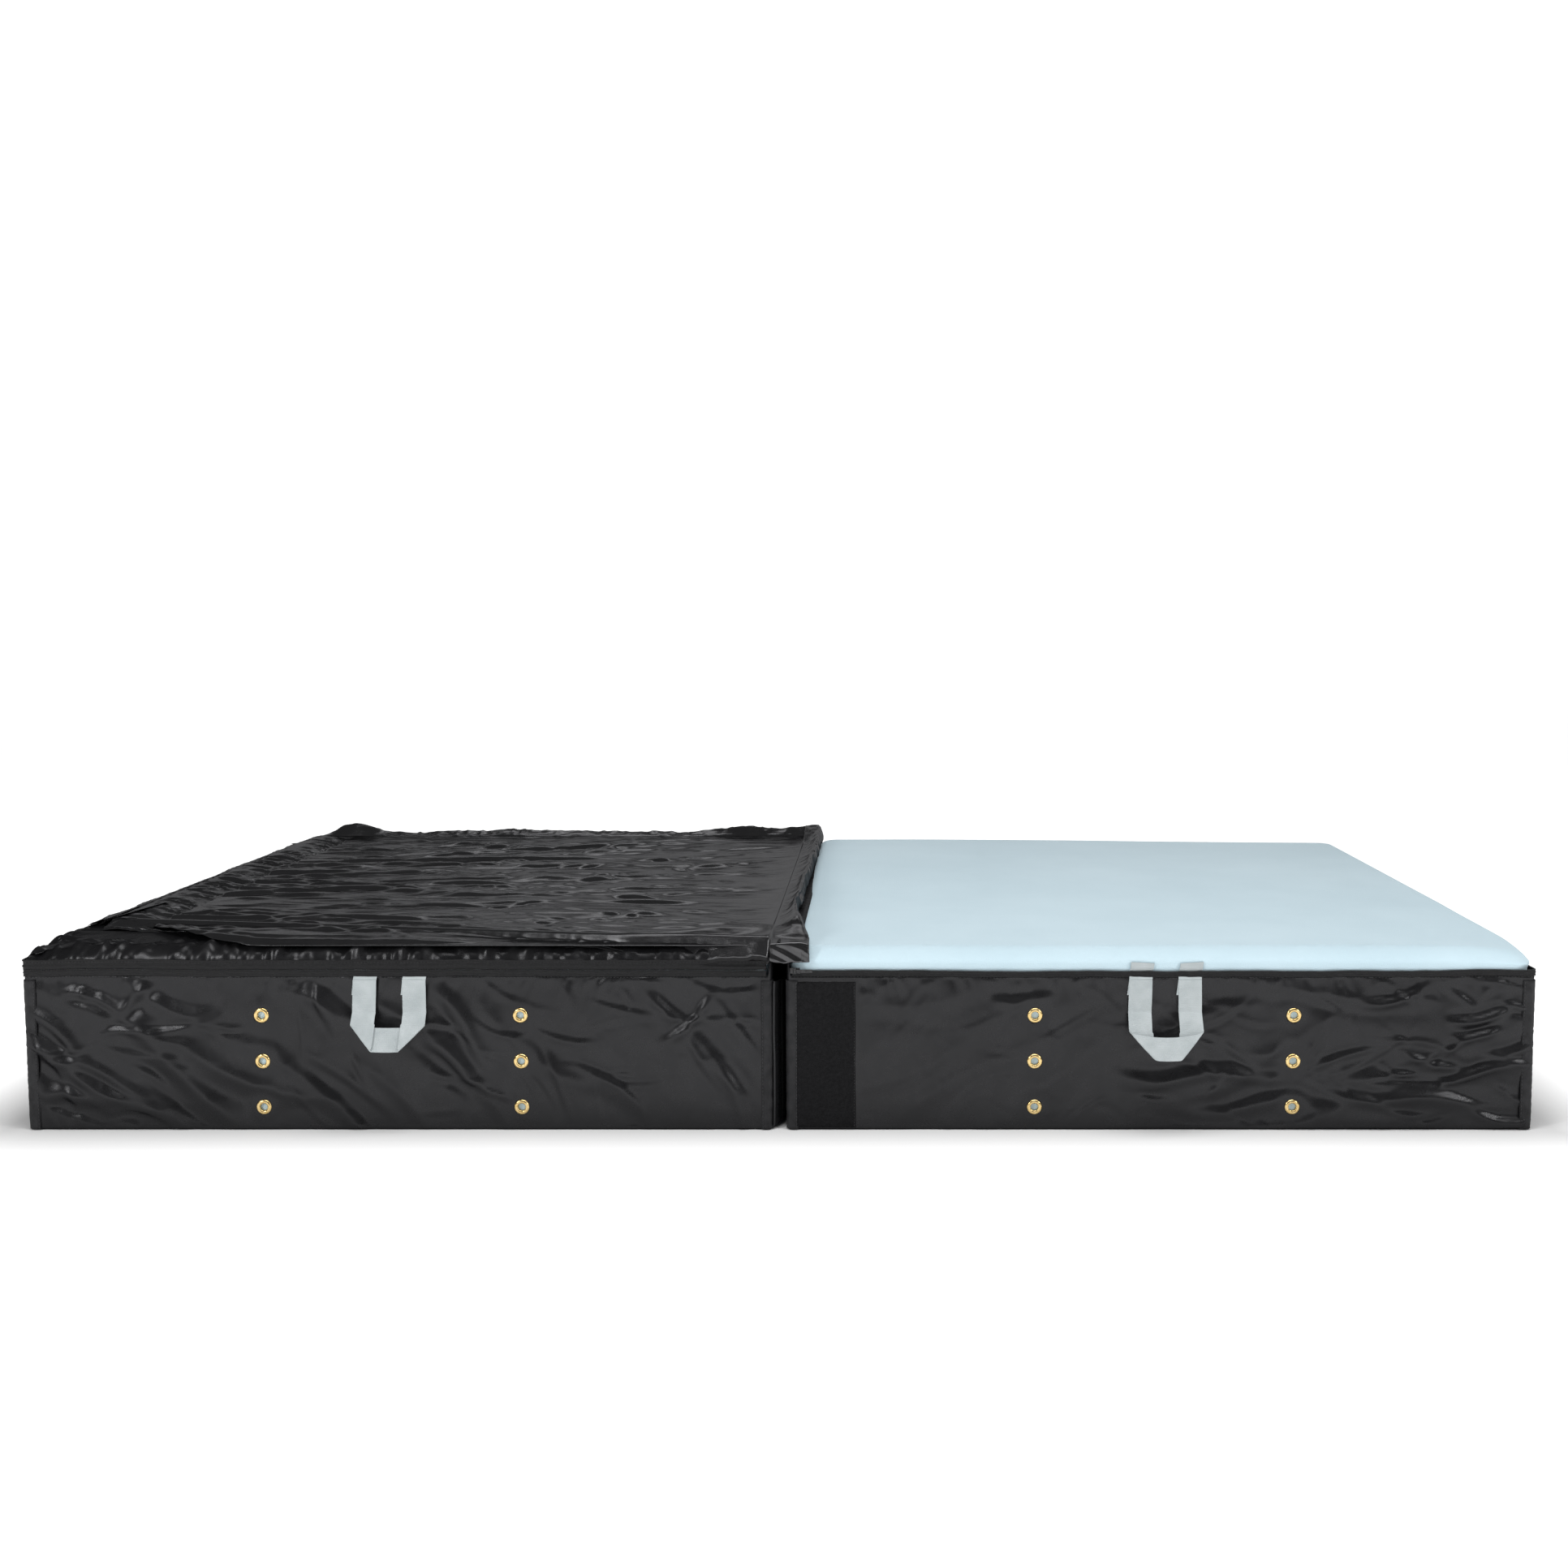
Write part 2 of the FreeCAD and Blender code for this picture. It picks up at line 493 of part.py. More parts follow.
# ---- Hinge: a strip of cover cloth on each half's top edge that rises to the crease between them.
def hinge_leaf(side):
    sign = -1 if side == "left" else 1
    base = f"({sheet_top} + sizes.fit / 3)" if side == "left" else f"({foam_top} + sizes.fit / 3)"
    margin = sized("<hinge_margin>")
    flat = box(f"{side}_hinge_flat", [from_hinge(side, "0", margin), f"(-{width} / 2)", base],
               [margin, width, vinyl])
    rise = f"({fold_axis} - {base})"
    slant = f"(sqrt({half_gap} ^ 2 + {rise} ^ 2) - sizes.hinge_parting)"
    ramp = doc.addObject("Part::Box", f"{side}_hinge_ramp")
    ramp.setExpression("Length", slant)
    ramp.setExpression("Width", width)
    ramp.setExpression("Height", vinyl)
    angle = math.degrees(math.atan2(number(rise), number(half_gap)))
    turn = -angle if side == "left" else 180 + angle
    ramp.Placement.Rotation = FreeCAD.Rotation(FreeCAD.Vector(0, 1, 0), turn)
    low = base if side == "left" else f"({base} + {vinyl})"
    if side == "left":
        place(ramp, [f"(-{half_gap})", f"(-{width} / 2)", low])
    else:
        place(ramp, [f"({half_gap})", f"(-{width} / 2)", low])
    finished(fuse(f"{side}_hinge", [flat, ramp]), f"{side}_hinge_leaf")


# ---- Right lid, unzipped and thrown back: the rumpled sheet, the pleat along its front edge and its bands.
def along_front(name, corner, size):
    """A rectangular piece in the frame of the lid's front edge: X along it, +Y out to the front, Z up."""
    piece = box(name, [lid_start, f"(-{lid_edge_y})", "0"], size)
    piece.Placement.Rotation = FreeCAD.Rotation(FreeCAD.Vector(0, 0, 1), 180)
    piece.setExpression("Placement.Rotation.Angle", f"180deg - {lid_slant}")
    x, y, z = corner
    place(piece, [f"({lid_start} - ({x}) * cos({lid_slant}) - ({y}) * sin({lid_slant}))",
                  f"(-{lid_edge_y} + ({x}) * sin({lid_slant}) - ({y}) * cos({lid_slant}))", z])
    return piece


def lid_strips(name, side_box, low, level, length_wanted):
    """A band from the lid's seam outwards, and the zipper tape on its outer edge."""
    gap, reach = sized("<lid_hem_gap>"), f"({lid_band_height} - sizes.lid_tape_overlap)"
    band = side_box(f"{name}_cloth", low, gap, f"({level} - {vinyl} / 2)",
                    length_wanted, f"({lid_band_height} - {gap})", vinyl)
    tape = side_box(f"{name}_tape_cloth", low, reach,
                    f"({level} - {vinyl} / 2 - sizes.tape_offset - sizes.tape_thickness)",
                    length_wanted, sized("<tape_width>"), sized("<tape_thickness>"))
    return band, tape


def front_box(name, low, out, z, run, deep, thick):
    return along_front(name, [low, out, z], [run, deep, thick])


def back_box(name, low, out, z, run, deep, thick):
    return box(name, [low, f"({lid_edge_y} + {out})", z], [run, deep, thick])


def end_box(name, low, out, z, run, deep, thick):
    return box(name, [f"({lid_end} - {out} - {deep})", low, z], [deep, run, thick])


def corner_box(name, low, out, z, run, deep, thick):
    return along_front(name, [f"({lid_edge} + {out})", low, z], [deep, run, thick])


def right_lid():
    """The sheet narrows towards its outer end; the cloth taken up there lies as a flat pleat on its front edge."""
    gap = sized("<lid_hem_gap>")
    sheet = doc.addObject("Part::Wedge", "lid_cloth")
    sheet.Placement.Rotation = FreeCAD.Rotation(FreeCAD.Vector(0, 0, 1), 90)
    place(sheet, [lid_start, "0", lid_base])
    front = f"(-{lid_edge_y} + {gap} / cos({lid_slant}))"
    for prop, expression in {
        "Xmin": front, "Xmax": f"({lid_edge_y} - {gap})", "Ymin": "0", "Ymax": f"({lid_edge} - {gap})",
        "Zmin": "0", "Zmax": sized("<lid_puff>"), "X2min": f"({front} + {lid_edge} * tan({lid_slant}))",
        "X2max": f"({lid_edge_y} - {gap})", "Z2min": "0", "Z2max": sized("<lid_puff>"),
    }.items():
        sheet.setExpression(prop, expression)
    finished(sheet, "right_lid_sheet")

    pleat = doc.addObject("Part::Wedge", "pleat_cloth")
    pleat.Placement.Rotation = FreeCAD.Rotation(FreeCAD.Vector(0, 0, 1), 90)
    pleat.setExpression("Placement.Rotation.Angle", f"90deg - {lid_slant}")
    place(pleat, [lid_start, f"(-{lid_edge_y})", f"({lid_seam} - {vinyl} / 2)"])
    for prop, expression in {
        "Xmin": "0", "Xmax": gap, "Ymin": "0", "Ymax": lid_edge, "Zmin": "0", "Zmax": vinyl,
        "X2min": "0", "X2max": f"({gap} + {lid_edge} * tan({lid_slant}))", "Z2min": "0", "Z2max": vinyl,
    }.items():
        pleat.setExpression(prop, expression)
    finished(pleat, "lid_front_pleat")

    end_low = f"(-{lid_edge_y} + {lid_edge} * sin({lid_slant}))"
    corner_run = f"(sizes.lid_front_retreat - 2 * sizes.fit - {gap} - sizes.tape_width)"
    corner_level = f"({lid_seam} + {vinyl} + sizes.tape_thickness + sizes.tape_offset + sizes.fit / 2)"
    for face, side_box, low, level, run in (
        ("front", front_box, "0", lid_seam, lid_edge),
        ("back", back_box, lid_end, lid_seam, lid_edge),
        ("end", end_box, end_low, lid_seam, f"({lid_edge_y} - {gap} - ({end_low}))"),
        ("corner", corner_box, f"(-{corner_run} - {gap})", corner_level, corner_run),
    ):
        band, tape = lid_strips(f"lid_{face}", side_box, low, level, run)
        finished(band, f"lid_{face}_band")
        finished(tape, f"lid_{face}_zip_tape")


def lid_turn_over():
    """Slack cloth of the lid at the hinge: out over the right half, round, and back above the crease."""
    cloth, start, top_level = sized("<lid_fold_cloth>"), lid_start, f"({foam_top} + sizes.lid_fold_height)"
    reach = f"(2 * sizes.lid_shift - {half_gap})"
    top = box("turn_over_top", [start, f"(-{width} / 2)", f"({top_level} - {cloth})"],
              [f"({reach} - {start})", width, cloth])
    side = box("turn_over_side", [f"({reach} - {cloth})", f"(-{width} / 2)", f"({foam_top} + sizes.fit / 3)"],
               [cloth, width, f"({top_level} - {foam_top} - sizes.fit / 3)"])
    inner = box("turn_over_inner", [f"{start}", f"(-{width} / 2)", f"({lid_top} + sizes.fit)"],
                [cloth, width, f"({top_level} - {lid_top} - sizes.fit)"])
    foot = box("turn_over_foot", [f"({half_gap} + sizes.hinge_margin + sizes.fit)", f"(-{width} / 2)",
                                  f"({foam_top} + sizes.fit / 3)"],
               [f"({reach} - {half_gap} - sizes.hinge_margin - sizes.fit)", width, cloth])
    finished(fuse("turn_over", [top, side, inner, foot]), "lid_turn_over")


for half in ("left", "right"):
    foam_block(half)
    base = box(f"{half}_base_cloth", [from_hinge(half, "0", length), f"(-{width} / 2)", "0"],
               [length, width, vinyl])
    finished(base, f"{half}_base_sheet")
    for wall_face in ("front", "back"):
        side_wall(half, wall_face)
        eyelets(half, wall_face)
    for wall_end in ("hinge", "end"):
        end_wall(half, wall_end)
    corner_bindings(half)
    eyelet_washers(half)
    lower_zipper(half)
    handles(half)
    hinge_leaf(half)
left_lid()
right_lid()
lid_turn_over()
sliders()
links()

doc.recompute()
for thing in doc.Objects:
    if "Invalid" in thing.State or "Error" in thing.State:
        raise RuntimeError(f"{thing.Label} failed: {thing.State}")
os.makedirs("parts", exist_ok=True)
for part in parts:
    shape = part.Shape
    if shape.isNull() or not shape.isValid() or not shape.Solids or shape.Volume <= 0:
        raise RuntimeError(f"{part.Label} has no valid solid")
    shape.exportStep(os.path.join("parts", f"{part.Label}.step"))
print(len(parts), "parts; fold axis", number(fold_axis), "lid seam", number(lid_seam), "slant", number(lid_slant),
      "edge", number(lid_edge), "band", number(lid_band_height), "corner", number(lid_start), number(lid_edge_y))
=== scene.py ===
import math

import bmesh
import bpy
import numpy as np
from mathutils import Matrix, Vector


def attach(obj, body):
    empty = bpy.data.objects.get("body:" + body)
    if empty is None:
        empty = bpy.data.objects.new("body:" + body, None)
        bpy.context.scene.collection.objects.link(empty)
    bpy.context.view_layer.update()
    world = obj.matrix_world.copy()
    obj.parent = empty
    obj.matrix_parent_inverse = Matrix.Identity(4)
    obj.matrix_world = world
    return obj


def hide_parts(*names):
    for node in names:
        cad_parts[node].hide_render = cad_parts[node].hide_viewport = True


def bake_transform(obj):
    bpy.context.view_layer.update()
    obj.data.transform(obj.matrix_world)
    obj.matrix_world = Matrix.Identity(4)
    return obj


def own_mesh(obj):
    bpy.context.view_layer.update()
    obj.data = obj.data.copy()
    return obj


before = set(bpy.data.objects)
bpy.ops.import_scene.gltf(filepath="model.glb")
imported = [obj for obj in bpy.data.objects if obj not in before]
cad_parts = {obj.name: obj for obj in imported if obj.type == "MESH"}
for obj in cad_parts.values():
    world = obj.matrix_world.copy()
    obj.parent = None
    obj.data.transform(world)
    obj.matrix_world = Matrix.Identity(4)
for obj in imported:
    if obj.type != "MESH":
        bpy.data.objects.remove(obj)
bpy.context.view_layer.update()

# ---- Sewn walls of the two covers.
# One strip of black coated nylon runs right round each foam block. It is sewn to the base below and to the
# zipper above, so it puckers along both seams and hangs in loose diagonal folds between them.
MM = 0.001
HALF_LENGTH = 609.5
HALF_CENTRE = {"left": -621.5, "right": 621.5}
SEWN_CENTRE = {"left": -633.5, "right": 627.5}
OUTWARD = {"left": -1.0, "right": 1.0}
COVER_CORNER = 9.0
WALL_TOP = 257.0
HINGE_WALL_TOP = 303.0
EYELET_PITCH = 422.0
EYELET_ROWS = (38.8, 115.0, 191.2)
EYELET_HOLE = 8.6
NYLON_BLACK = (0.0055, 0.0055, 0.0060)
NYLON_GREY = (0.010, 0.010, 0.0108)


def rumple(seed, u, v, cell_u, cell_v):
    """Smooth random relief from -1 to 1, with lumps of the given size."""
    table = np.random.default_rng(seed).uniform(-1, 1, (61, 61))
    u, v = np.broadcast_arrays(np.asarray(u, float) / cell_u, np.asarray(v, float) / cell_v)
    iu, iv = np.floor(u).astype(int), np.floor(v).astype(int)
    fu, fv = u - iu, v - iv
    fu, fv = fu * fu * (3 - 2 * fu), fv * fv * (3 - 2 * fv)
    a, b = table[iu % 61, iv % 61], table[(iu + 1) % 61, iv % 61]
    c, d = table[iu % 61, (iv + 1) % 61], table[(iu + 1) % 61, (iv + 1) % 61]
    return (a * (1 - fu) + b * fu) * (1 - fv) + (c * (1 - fu) + d * fu) * fv


def pinched(seed, u, v, cell_u, cell_v):
    """Like rumple, with sharp ridges between soft hollows, as creased cloth has."""
    return 1 - 2 * np.abs(rumple(seed, u, v, cell_u, cell_v)) ** 0.8


def ease(x, low, high):
    """From 0 at low to 1 at high, smoothly."""
    t = np.clip((np.asarray(x, float) - low) / (high - low), 0, 1)
    return t * t * (3 - 2 * t)


def creases(seed, count, u, v, area, length, wide, height, direction):
    """Scattered pressed creases, each a ridge with a hollow beside it; direction gives degrees at a place."""
    rng = np.random.default_rng(seed)
    u, v = np.broadcast_arrays(np.asarray(u, float), np.asarray(v, float))
    shape = np.zeros(u.shape)
    for _ in range(count):
        u0, v0 = rng.uniform(area[0], area[1]), rng.uniform(area[2], area[3])
        run, w, h = rng.uniform(*length), rng.uniform(*wide), rng.uniform(*height)
        a = math.radians(direction(u0, v0) + rng.normal(0, 9))
        bow, sign = rng.uniform(-0.16, 0.16) * run, rng.choice((-1, 1))
        near = (np.abs(u - u0) < run / 2 + 5 * w) & (np.abs(v - v0) < run / 2 + 5 * w)
        du, dv = u[near] - u0, v[near] - v0
        along, across = du * math.cos(a) + dv * math.sin(a), dv * math.cos(a) - du * math.sin(a)
        t = np.clip(along / run * 2, -1.25, 1.25)
        across = (across - bow * (t * t - 0.4)) * sign
        fade = np.clip(1 - (t / 1.25) ** 2, 0, 1) ** 1.5
        ridge = np.exp(-np.abs(across / w) ** 1.5) - 0.7 * np.exp(-(((across - 1.9 * w) / (1.3 * w)) ** 2))
        shape[near] += h * fade * ridge
    return shape


def set_fold(s, z, fold):
    """A pressed-in fold between two points of the cloth, fading at its ends."""
    s0, z0, s1, z1, height, wide = fold
    run = math.hypot(s1 - s0, z1 - z0)
    ux, uz = (s1 - s0) / run, (z1 - z0) / run
    along = (s - s0) * ux + (z - z0) * uz
    across = (z - z0) * ux - (s - s0) * uz + 7 * np.sin(along / 31.0)
    fade = ease(along, -0.15 * run, 0.25 * run) * (1 - ease(along, 0.7 * run, 1.15 * run))
    return height * fade * (np.exp(-((across / wide) ** 2)) - 0.55 * np.exp(-(((across - 1.7 * wide) / wide) ** 2)))


def cloth(name, x, y, z, ring=False, flip=False, thick=0.9, gone=None):
    """Cloth from rows of points in millimetres, closed into a ring on request, with thickness."""
    rows, cols = x.shape
    co = np.stack([x, y, z], -1).reshape(-1, 3) * MM
    index = np.arange(rows * cols).reshape(rows, cols)
    right = np.roll(index, -1, 1) if ring else index[:, 1:]
    left = index if ring else index[:, :-1]
    quads = np.stack([left[:-1], right[:-1], right[1:], left[1:]], -1).reshape(-1, 4)
    if flip:
        quads = quads[:, ::-1]
    if gone is not None:
        middle = co[quads].mean(1) / MM
        quads = quads[~gone(middle)]
    mesh = bpy.data.meshes.new(name)
    mesh.from_pydata(co.tolist(), [], quads.tolist())
    loose = bmesh.new()
    loose.from_mesh(mesh)
    bmesh.ops.delete(loose, geom=[v for v in loose.verts if not v.link_faces], context="VERTS")
    loose.to_mesh(mesh)
    loose.free()
    mesh.shade_smooth()
    piece = bpy.data.objects.new(name, mesh)
    bpy.context.collection.objects.link(piece)
    if thick:
        skin = piece.modifiers.new("thickness", "SOLIDIFY")
        skin.thickness, skin.offset = thick * MM, -1.0
    return piece


def shader(name, colour, roughness, **sockets):
    """A new material and its main shader, with the plain values that are the same all over."""
    material = bpy.data.materials.new(name)
    material.use_nodes = True
    main = material.node_tree.nodes["Principled BSDF"]
    main.inputs["Base Color"].default_value = (*colour, 1)
    main.inputs["Roughness"].default_value = roughness
    for socket, value in sockets.items():
        main.inputs[socket.replace("_", " ")].default_value = value
    return material, main


def link(material, start, end):
    material.node_tree.links.new(start, end)


def texture(material, kind, stretch=(1, 1, 1), turn=(0, 0, 0), **values):
    """A procedural texture in the piece's own coordinates."""
    nodes = material.node_tree.nodes
    place, mapping, tex = nodes.new("ShaderNodeTexCoord"), nodes.new("ShaderNodeMapping"), nodes.new(kind)
    mapping.inputs["Scale"].default_value = stretch
    mapping.inputs["Rotation"].default_value = turn
    link(material, place.outputs["Object"], mapping.inputs["Vector"])
    link(material, mapping.outputs["Vector"], tex.inputs["Vector"])
    for socket, value in values.items():
        tex.inputs[socket.replace("_", " ")].default_value = value
    return tex


def spread(material, value, low, high, socket):
    """Drives a shader socket between two numbers by a texture."""
    node = material.node_tree.nodes.new("ShaderNodeMapRange")
    node.inputs["From Min"].default_value, node.inputs["From Max"].default_value = 0.3, 0.7
    node.inputs["To Min"].default_value, node.inputs["To Max"].default_value = low, high
    link(material, value, node.inputs["Value"])
    link(material, node.outputs["Result"], socket)


def tint(material, value, first, second, socket):
    """Drives a colour socket between two colours by a texture."""
    ramp = material.node_tree.nodes.new("ShaderNodeValToRGB")
    ramp.color_ramp.elements[0].position, ramp.color_ramp.elements[1].position = 0.3, 0.7
    ramp.color_ramp.elements[0].color = (*first, 1)
    ramp.color_ramp.elements[1].color = (*second, 1)
    link(material, value, ramp.inputs["Fac"])
    link(material, ramp.outputs["Color"], socket)


def relief(material, main, *layers):
    """Bump layers, each a texture value with its depth in metres and its strength."""
    before = None
    for value, depth, strength in layers:
        bump = material.node_tree.nodes.new("ShaderNodeBump")
        bump.inputs["Distance"].default_value = depth
        bump.inputs["Strength"].default_value = strength
        link(material, value, bump.inputs["Height"])
        if before:
            link(material, before.outputs["Normal"], bump.inputs["Normal"])
        before = bump
    link(material, before.outputs["Normal"], main.inputs["Normal"])
    return before.outputs["Normal"]


def coated_nylon(name, dark, light, low, high, crumple, shine):
    """Coated nylon: close weave under a satin coating, finely crumpled, with scuffed dull patches."""
    material, main = shader(name, dark, 0.6, Specular_IOR_Level=0.0)
    nodes = material.node_tree.nodes
    coating, together = nodes.new("ShaderNodeBsdfAnisotropic"), nodes.new("ShaderNodeAddShader")
    coating.inputs["Color"].default_value = (shine, shine, shine * 1.03, 1)
    link(material, main.outputs["BSDF"], together.inputs[0])
    link(material, coating.outputs["BSDF"], together.inputs[1])
    link(material, together.outputs["Shader"], nodes["Material Output"].inputs["Surface"])
    cloudy = texture(material, "ShaderNodeTexNoise", Scale=7.0, Detail=5.0, Roughness=0.6)
    tint(material, cloudy.outputs["Fac"], dark, light, main.inputs["Base Color"])
    scuffs = texture(material, "ShaderNodeTexNoise", Scale=26.0, Detail=6.0, Roughness=0.65)
    spread(material, scuffs.outputs["Fac"], low, high, coating.inputs["Roughness"])
    crumples = texture(material, "ShaderNodeTexNoise", Scale=24.0, Detail=5.0, Roughness=0.55, Distortion=0.8)
    crumples.noise_type = "RIDGED_MULTIFRACTAL"
    grain = texture(material, "ShaderNodeTexNoise", Scale=1100.0, Detail=2.0)
    rib = texture(material, "ShaderNodeTexWave", Scale=420.0, Distortion=0.6)
    normal = relief(material, main, (crumples.outputs["Fac"], 0.0024, crumple), (rib.outputs["Fac"], 0.0002, 0.12),
                    (grain.outputs["Fac"], 0.0003, 0.25))
    link(material, normal, coating.inputs["Normal"])
    return material


nylon = coated_nylon("coated_nylon_outside", NYLON_BLACK, NYLON_GREY, 0.22, 0.36, 0.3, 0.024)


def perimeter(side, grow=0.0, step=4.0):
    """Points round a cover from its front hinge corner by the outer end, with outward directions and run."""
    reach = HALF_LENGTH
    count, bend = int(2 * (reach - COVER_CORNER) / step), 6
    inner = reach - COVER_CORNER
    p, y, nx, ny = [], [], [], []
    for turn in (-90, 0, 90, 180):
        a = math.radians(turn)
        out, along = np.array([math.cos(a), math.sin(a)]), np.array([-math.sin(a), math.cos(a)])
        for t in np.linspace(-inner, inner, count, endpoint=False):
            spot = out * reach + along * t
            p.append(spot[0]), y.append(spot[1]), nx.append(out[0]), ny.append(out[1])
        for t in np.linspace(0, 90, bend, endpoint=False):
            b = math.radians(turn + t)
            spot = (out + along) * inner + COVER_CORNER * np.array([math.cos(b), math.sin(b)])
            p.append(spot[0]), y.append(spot[1]), nx.append(math.cos(b)), ny.append(math.sin(b))
    p, y, nx, ny = (np.array(v) for v in (p, y, nx, ny))
    shrink = (reach + grow) / reach if grow < -COVER_CORNER else 1.0
    push = 0.0 if shrink < 1 else grow
    run = np.concatenate([[0], np.cumsum(np.hypot(np.diff(p), np.diff(y)))])
    x = HALF_CENTRE[side] + OUTWARD[side] * (p * shrink + nx * push)
    return x, y * shrink + ny * push, nx * OUTWARD[side], ny, run


def eyelet_distance(x, y, z):
    """How far a point of a front or back wall is from the nearest eyelet's middle."""
    nearest = np.full(np.broadcast(x, z).shape, 1e6)
    for side in ("left", "right"):
        for column in (-EYELET_PITCH / 2, EYELET_PITCH / 2):
            for row in EYELET_ROWS:
                nearest = np.minimum(nearest, np.hypot(x - SEWN_CENTRE[side] - column, z - row))
    return np.where(np.abs(y) > HALF_LENGTH - 20, nearest, 1e6)


WALL_FOLDS = {
    "left": [(1215, 140, 960, 6, 7.0, 13), (1140, 232, 1049, 196, 5.5, 8), (1049, 196, 1000, 238, 5.0, 8),
             (535, 232, 450, 108, 6.0, 12), (90, 224, 160, 146, 5.5, 8), (1180, 60, 1060, 36, 5.5, 12),
             (740, 228, 700, 150, 4.0, 12), (300, 90, 190, 30, 3.0, 15), (1205, 200, 1110, 120, 5.0, 10),
             (1160, 120, 1000, 60, 4.0, 9), (560, 150, 470, 70, 4.5, 11), (120, 180, 200, 232, 4.0, 8)],
    "right": [(1014, 74, 1210, 110, 7.0, 9), (1074, 180, 1170, 202, 6.0, 7), (544, 86, 812, 92, 5.5, 12),
              (1080, 152, 1150, 172, 5.0, 7), (900, 58, 1205, 40, 5.5, 11), (930, 206, 1040, 238, 5.0, 8),
              (1130, 120, 1216, 150, 5.5, 8), (640, 30, 860, 46, 4.0, 12), (1110, 30, 1210, 14, 5.0, 7),
              (1000, 128, 1100, 96, 4.0, 8), (1150, 70, 1214, 48, 4.5, 6), (330, 214, 420, 224, 3.5, 9)],
}
WALL_LOOSE = {"left": (0.8, 1.15), "right": (0.3, 1.2)}
WALL_SLANT = {"left": 42.0, "right": 12.0}


def wall_relief(side, s, z, x, y):
    """How far the wall's cloth stands out from its flat place."""
    seed = {"left": 11, "right": 37}[side]
    loose = WALL_LOOSE[side][0] + (WALL_LOOSE[side][1] - WALL_LOOSE[side][0]) * ease(s, 450, 1050)
    slant = WALL_SLANT[side]
    shape = 1.7 * rumple(seed, s + 1.3 * z, z - 0.35 * s, 190, 110)
    shape = shape + 1.0 * pinched(seed + 1, s - 0.8 * z, z, 110, 75)
    shape = shape + creases(seed + 6, 60, s, z, (0, 4860, 5, 245), (140, 420), (9, 20), (2.5, 6.0),
                            lambda u, v: slant + 20 * math.sin(u / 210.0))
    shape = shape + creases(seed + 7, 230, s, z, (0, 4860, 5, 250), (40, 170), (3.6, 5.6), (0.9, 3.0),
                            lambda u, v: slant + 40 * math.sin(u / 90.0 + v))
    shape = shape * loose - 1.2
    for fold in WALL_FOLDS[side]:
        shape = shape + set_fold(s, z, fold)
        shape = shape + 0.6 * set_fold(4858 - 1219 - s, z, fold)
    shape = shape + 4.2 * np.exp(-(WALL_TOP - z) / 17.0) * pinched(seed + 4, s + 0.3 * z, z, 12, 70)
    shape = shape + 2.2 * np.exp(-z / 13.0) * rumple(seed + 5, s, z, 17, 60)
    shape = shape + 2.0 * np.sin(np.clip(z / WALL_TOP, 0, 1) * math.pi)
    calm = ease(eyelet_distance(x, y, z), 13, 40)
    corner = np.minimum.reduce([np.abs(s - c) for c in (0, 1216, 2430, 3645, 4858)])
    calm = calm * (0.25 + 0.75 * ease(corner, 4, 34))
    if side == "right":
        strip = (np.abs(y) > HALF_LENGTH - 20) & (x < 132)
        calm = np.where(strip, calm * 0.12, calm)
    seam = ease(WALL_TOP + 4 - z, 2, 11) * ease(z, 0, 7)
    return np.clip(shape * calm * seam, -3.0, 8.5) - 0.3 + 0.3 * calm


def fitted(piece, finish, body, slot, *nodes):
    """Gives a piece its material and the body it rides on, and hides any CAD nodes that it stands for. Its slot is
    not used.
    """
    piece.data.materials.append(finish)
    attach(piece, body)
    if nodes:
        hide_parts(*nodes)


for side in ("left", "right"):
    x, y, nx, ny, s = perimeter(side)
    hinge = ease(s, 3640, 3652) * (1 - ease(s, s[-1] - 10, s[-1]))
    top = WALL_TOP + (HINGE_WALL_TOP - WALL_TOP) * hinge
    rows = np.concatenate([[0.0, 0.004, 0.012], np.linspace(0.024, 1, 60)])[:, None]
    z = 0.5 + rows * (top - 0.5)[None, :]
    quiet = 1 - 0.85 * hinge
    out = wall_relief(side, s[None, :], z, x[None, :], y[None, :]) * quiet[None, :]
    out = out - 4.0 * (1 - ease(rows, 0, 0.014)) * np.ones_like(out)
    wall = cloth(f"{side}_cover_wall", x + nx * out, y + ny * out, z, ring=True, flip=side == "left",
                 gone=lambda m: eyelet_distance(m[:, 0], m[:, 1], m[:, 2]) < EYELET_HOLE)
    fitted(wall, nylon, f"{side}_half", "cover_vinyl",
           *(f"{side}_{face}_wall" for face in ("front", "back", "end", "hinge")))

# ---- Undersides: the same coated nylon, cut square for each half and laid flat under its foam.
# Each is sewn to the foot of the walls with a turned-in edge.
for side in ("left", "right"):
    steps = np.linspace(-HALF_LENGTH + 3, HALF_LENGTH - 3, 60)
    u, v = np.meshgrid(steps, steps)
    lift = 0.7 + 0.4 * rumple(71, u, v, 120, 90)
    underside = cloth(f"{side}_underside", HALF_CENTRE[side] + u, v, lift, thick=0.5)
    fitted(underside, nylon, f"{side}_half", "cover_vinyl", f"{side}_base_sheet")

# ---- Foam blocks: pale blue open-cell foam, one block for each half, cut square with eased edges.
# The open block's top rises to its back edge. Both blocks are pressed down a little at their outer front corner.
FOAM_TOP = 303.5
LEFT_CROWN_DROP = 4.5
RIGHT_BACK_RISE = 13.0
FOAM_CORNER = 34.0
FOAM_EASE = 26.0
FOAM_REACH = 606.1
FOAM_BASE = 1.6


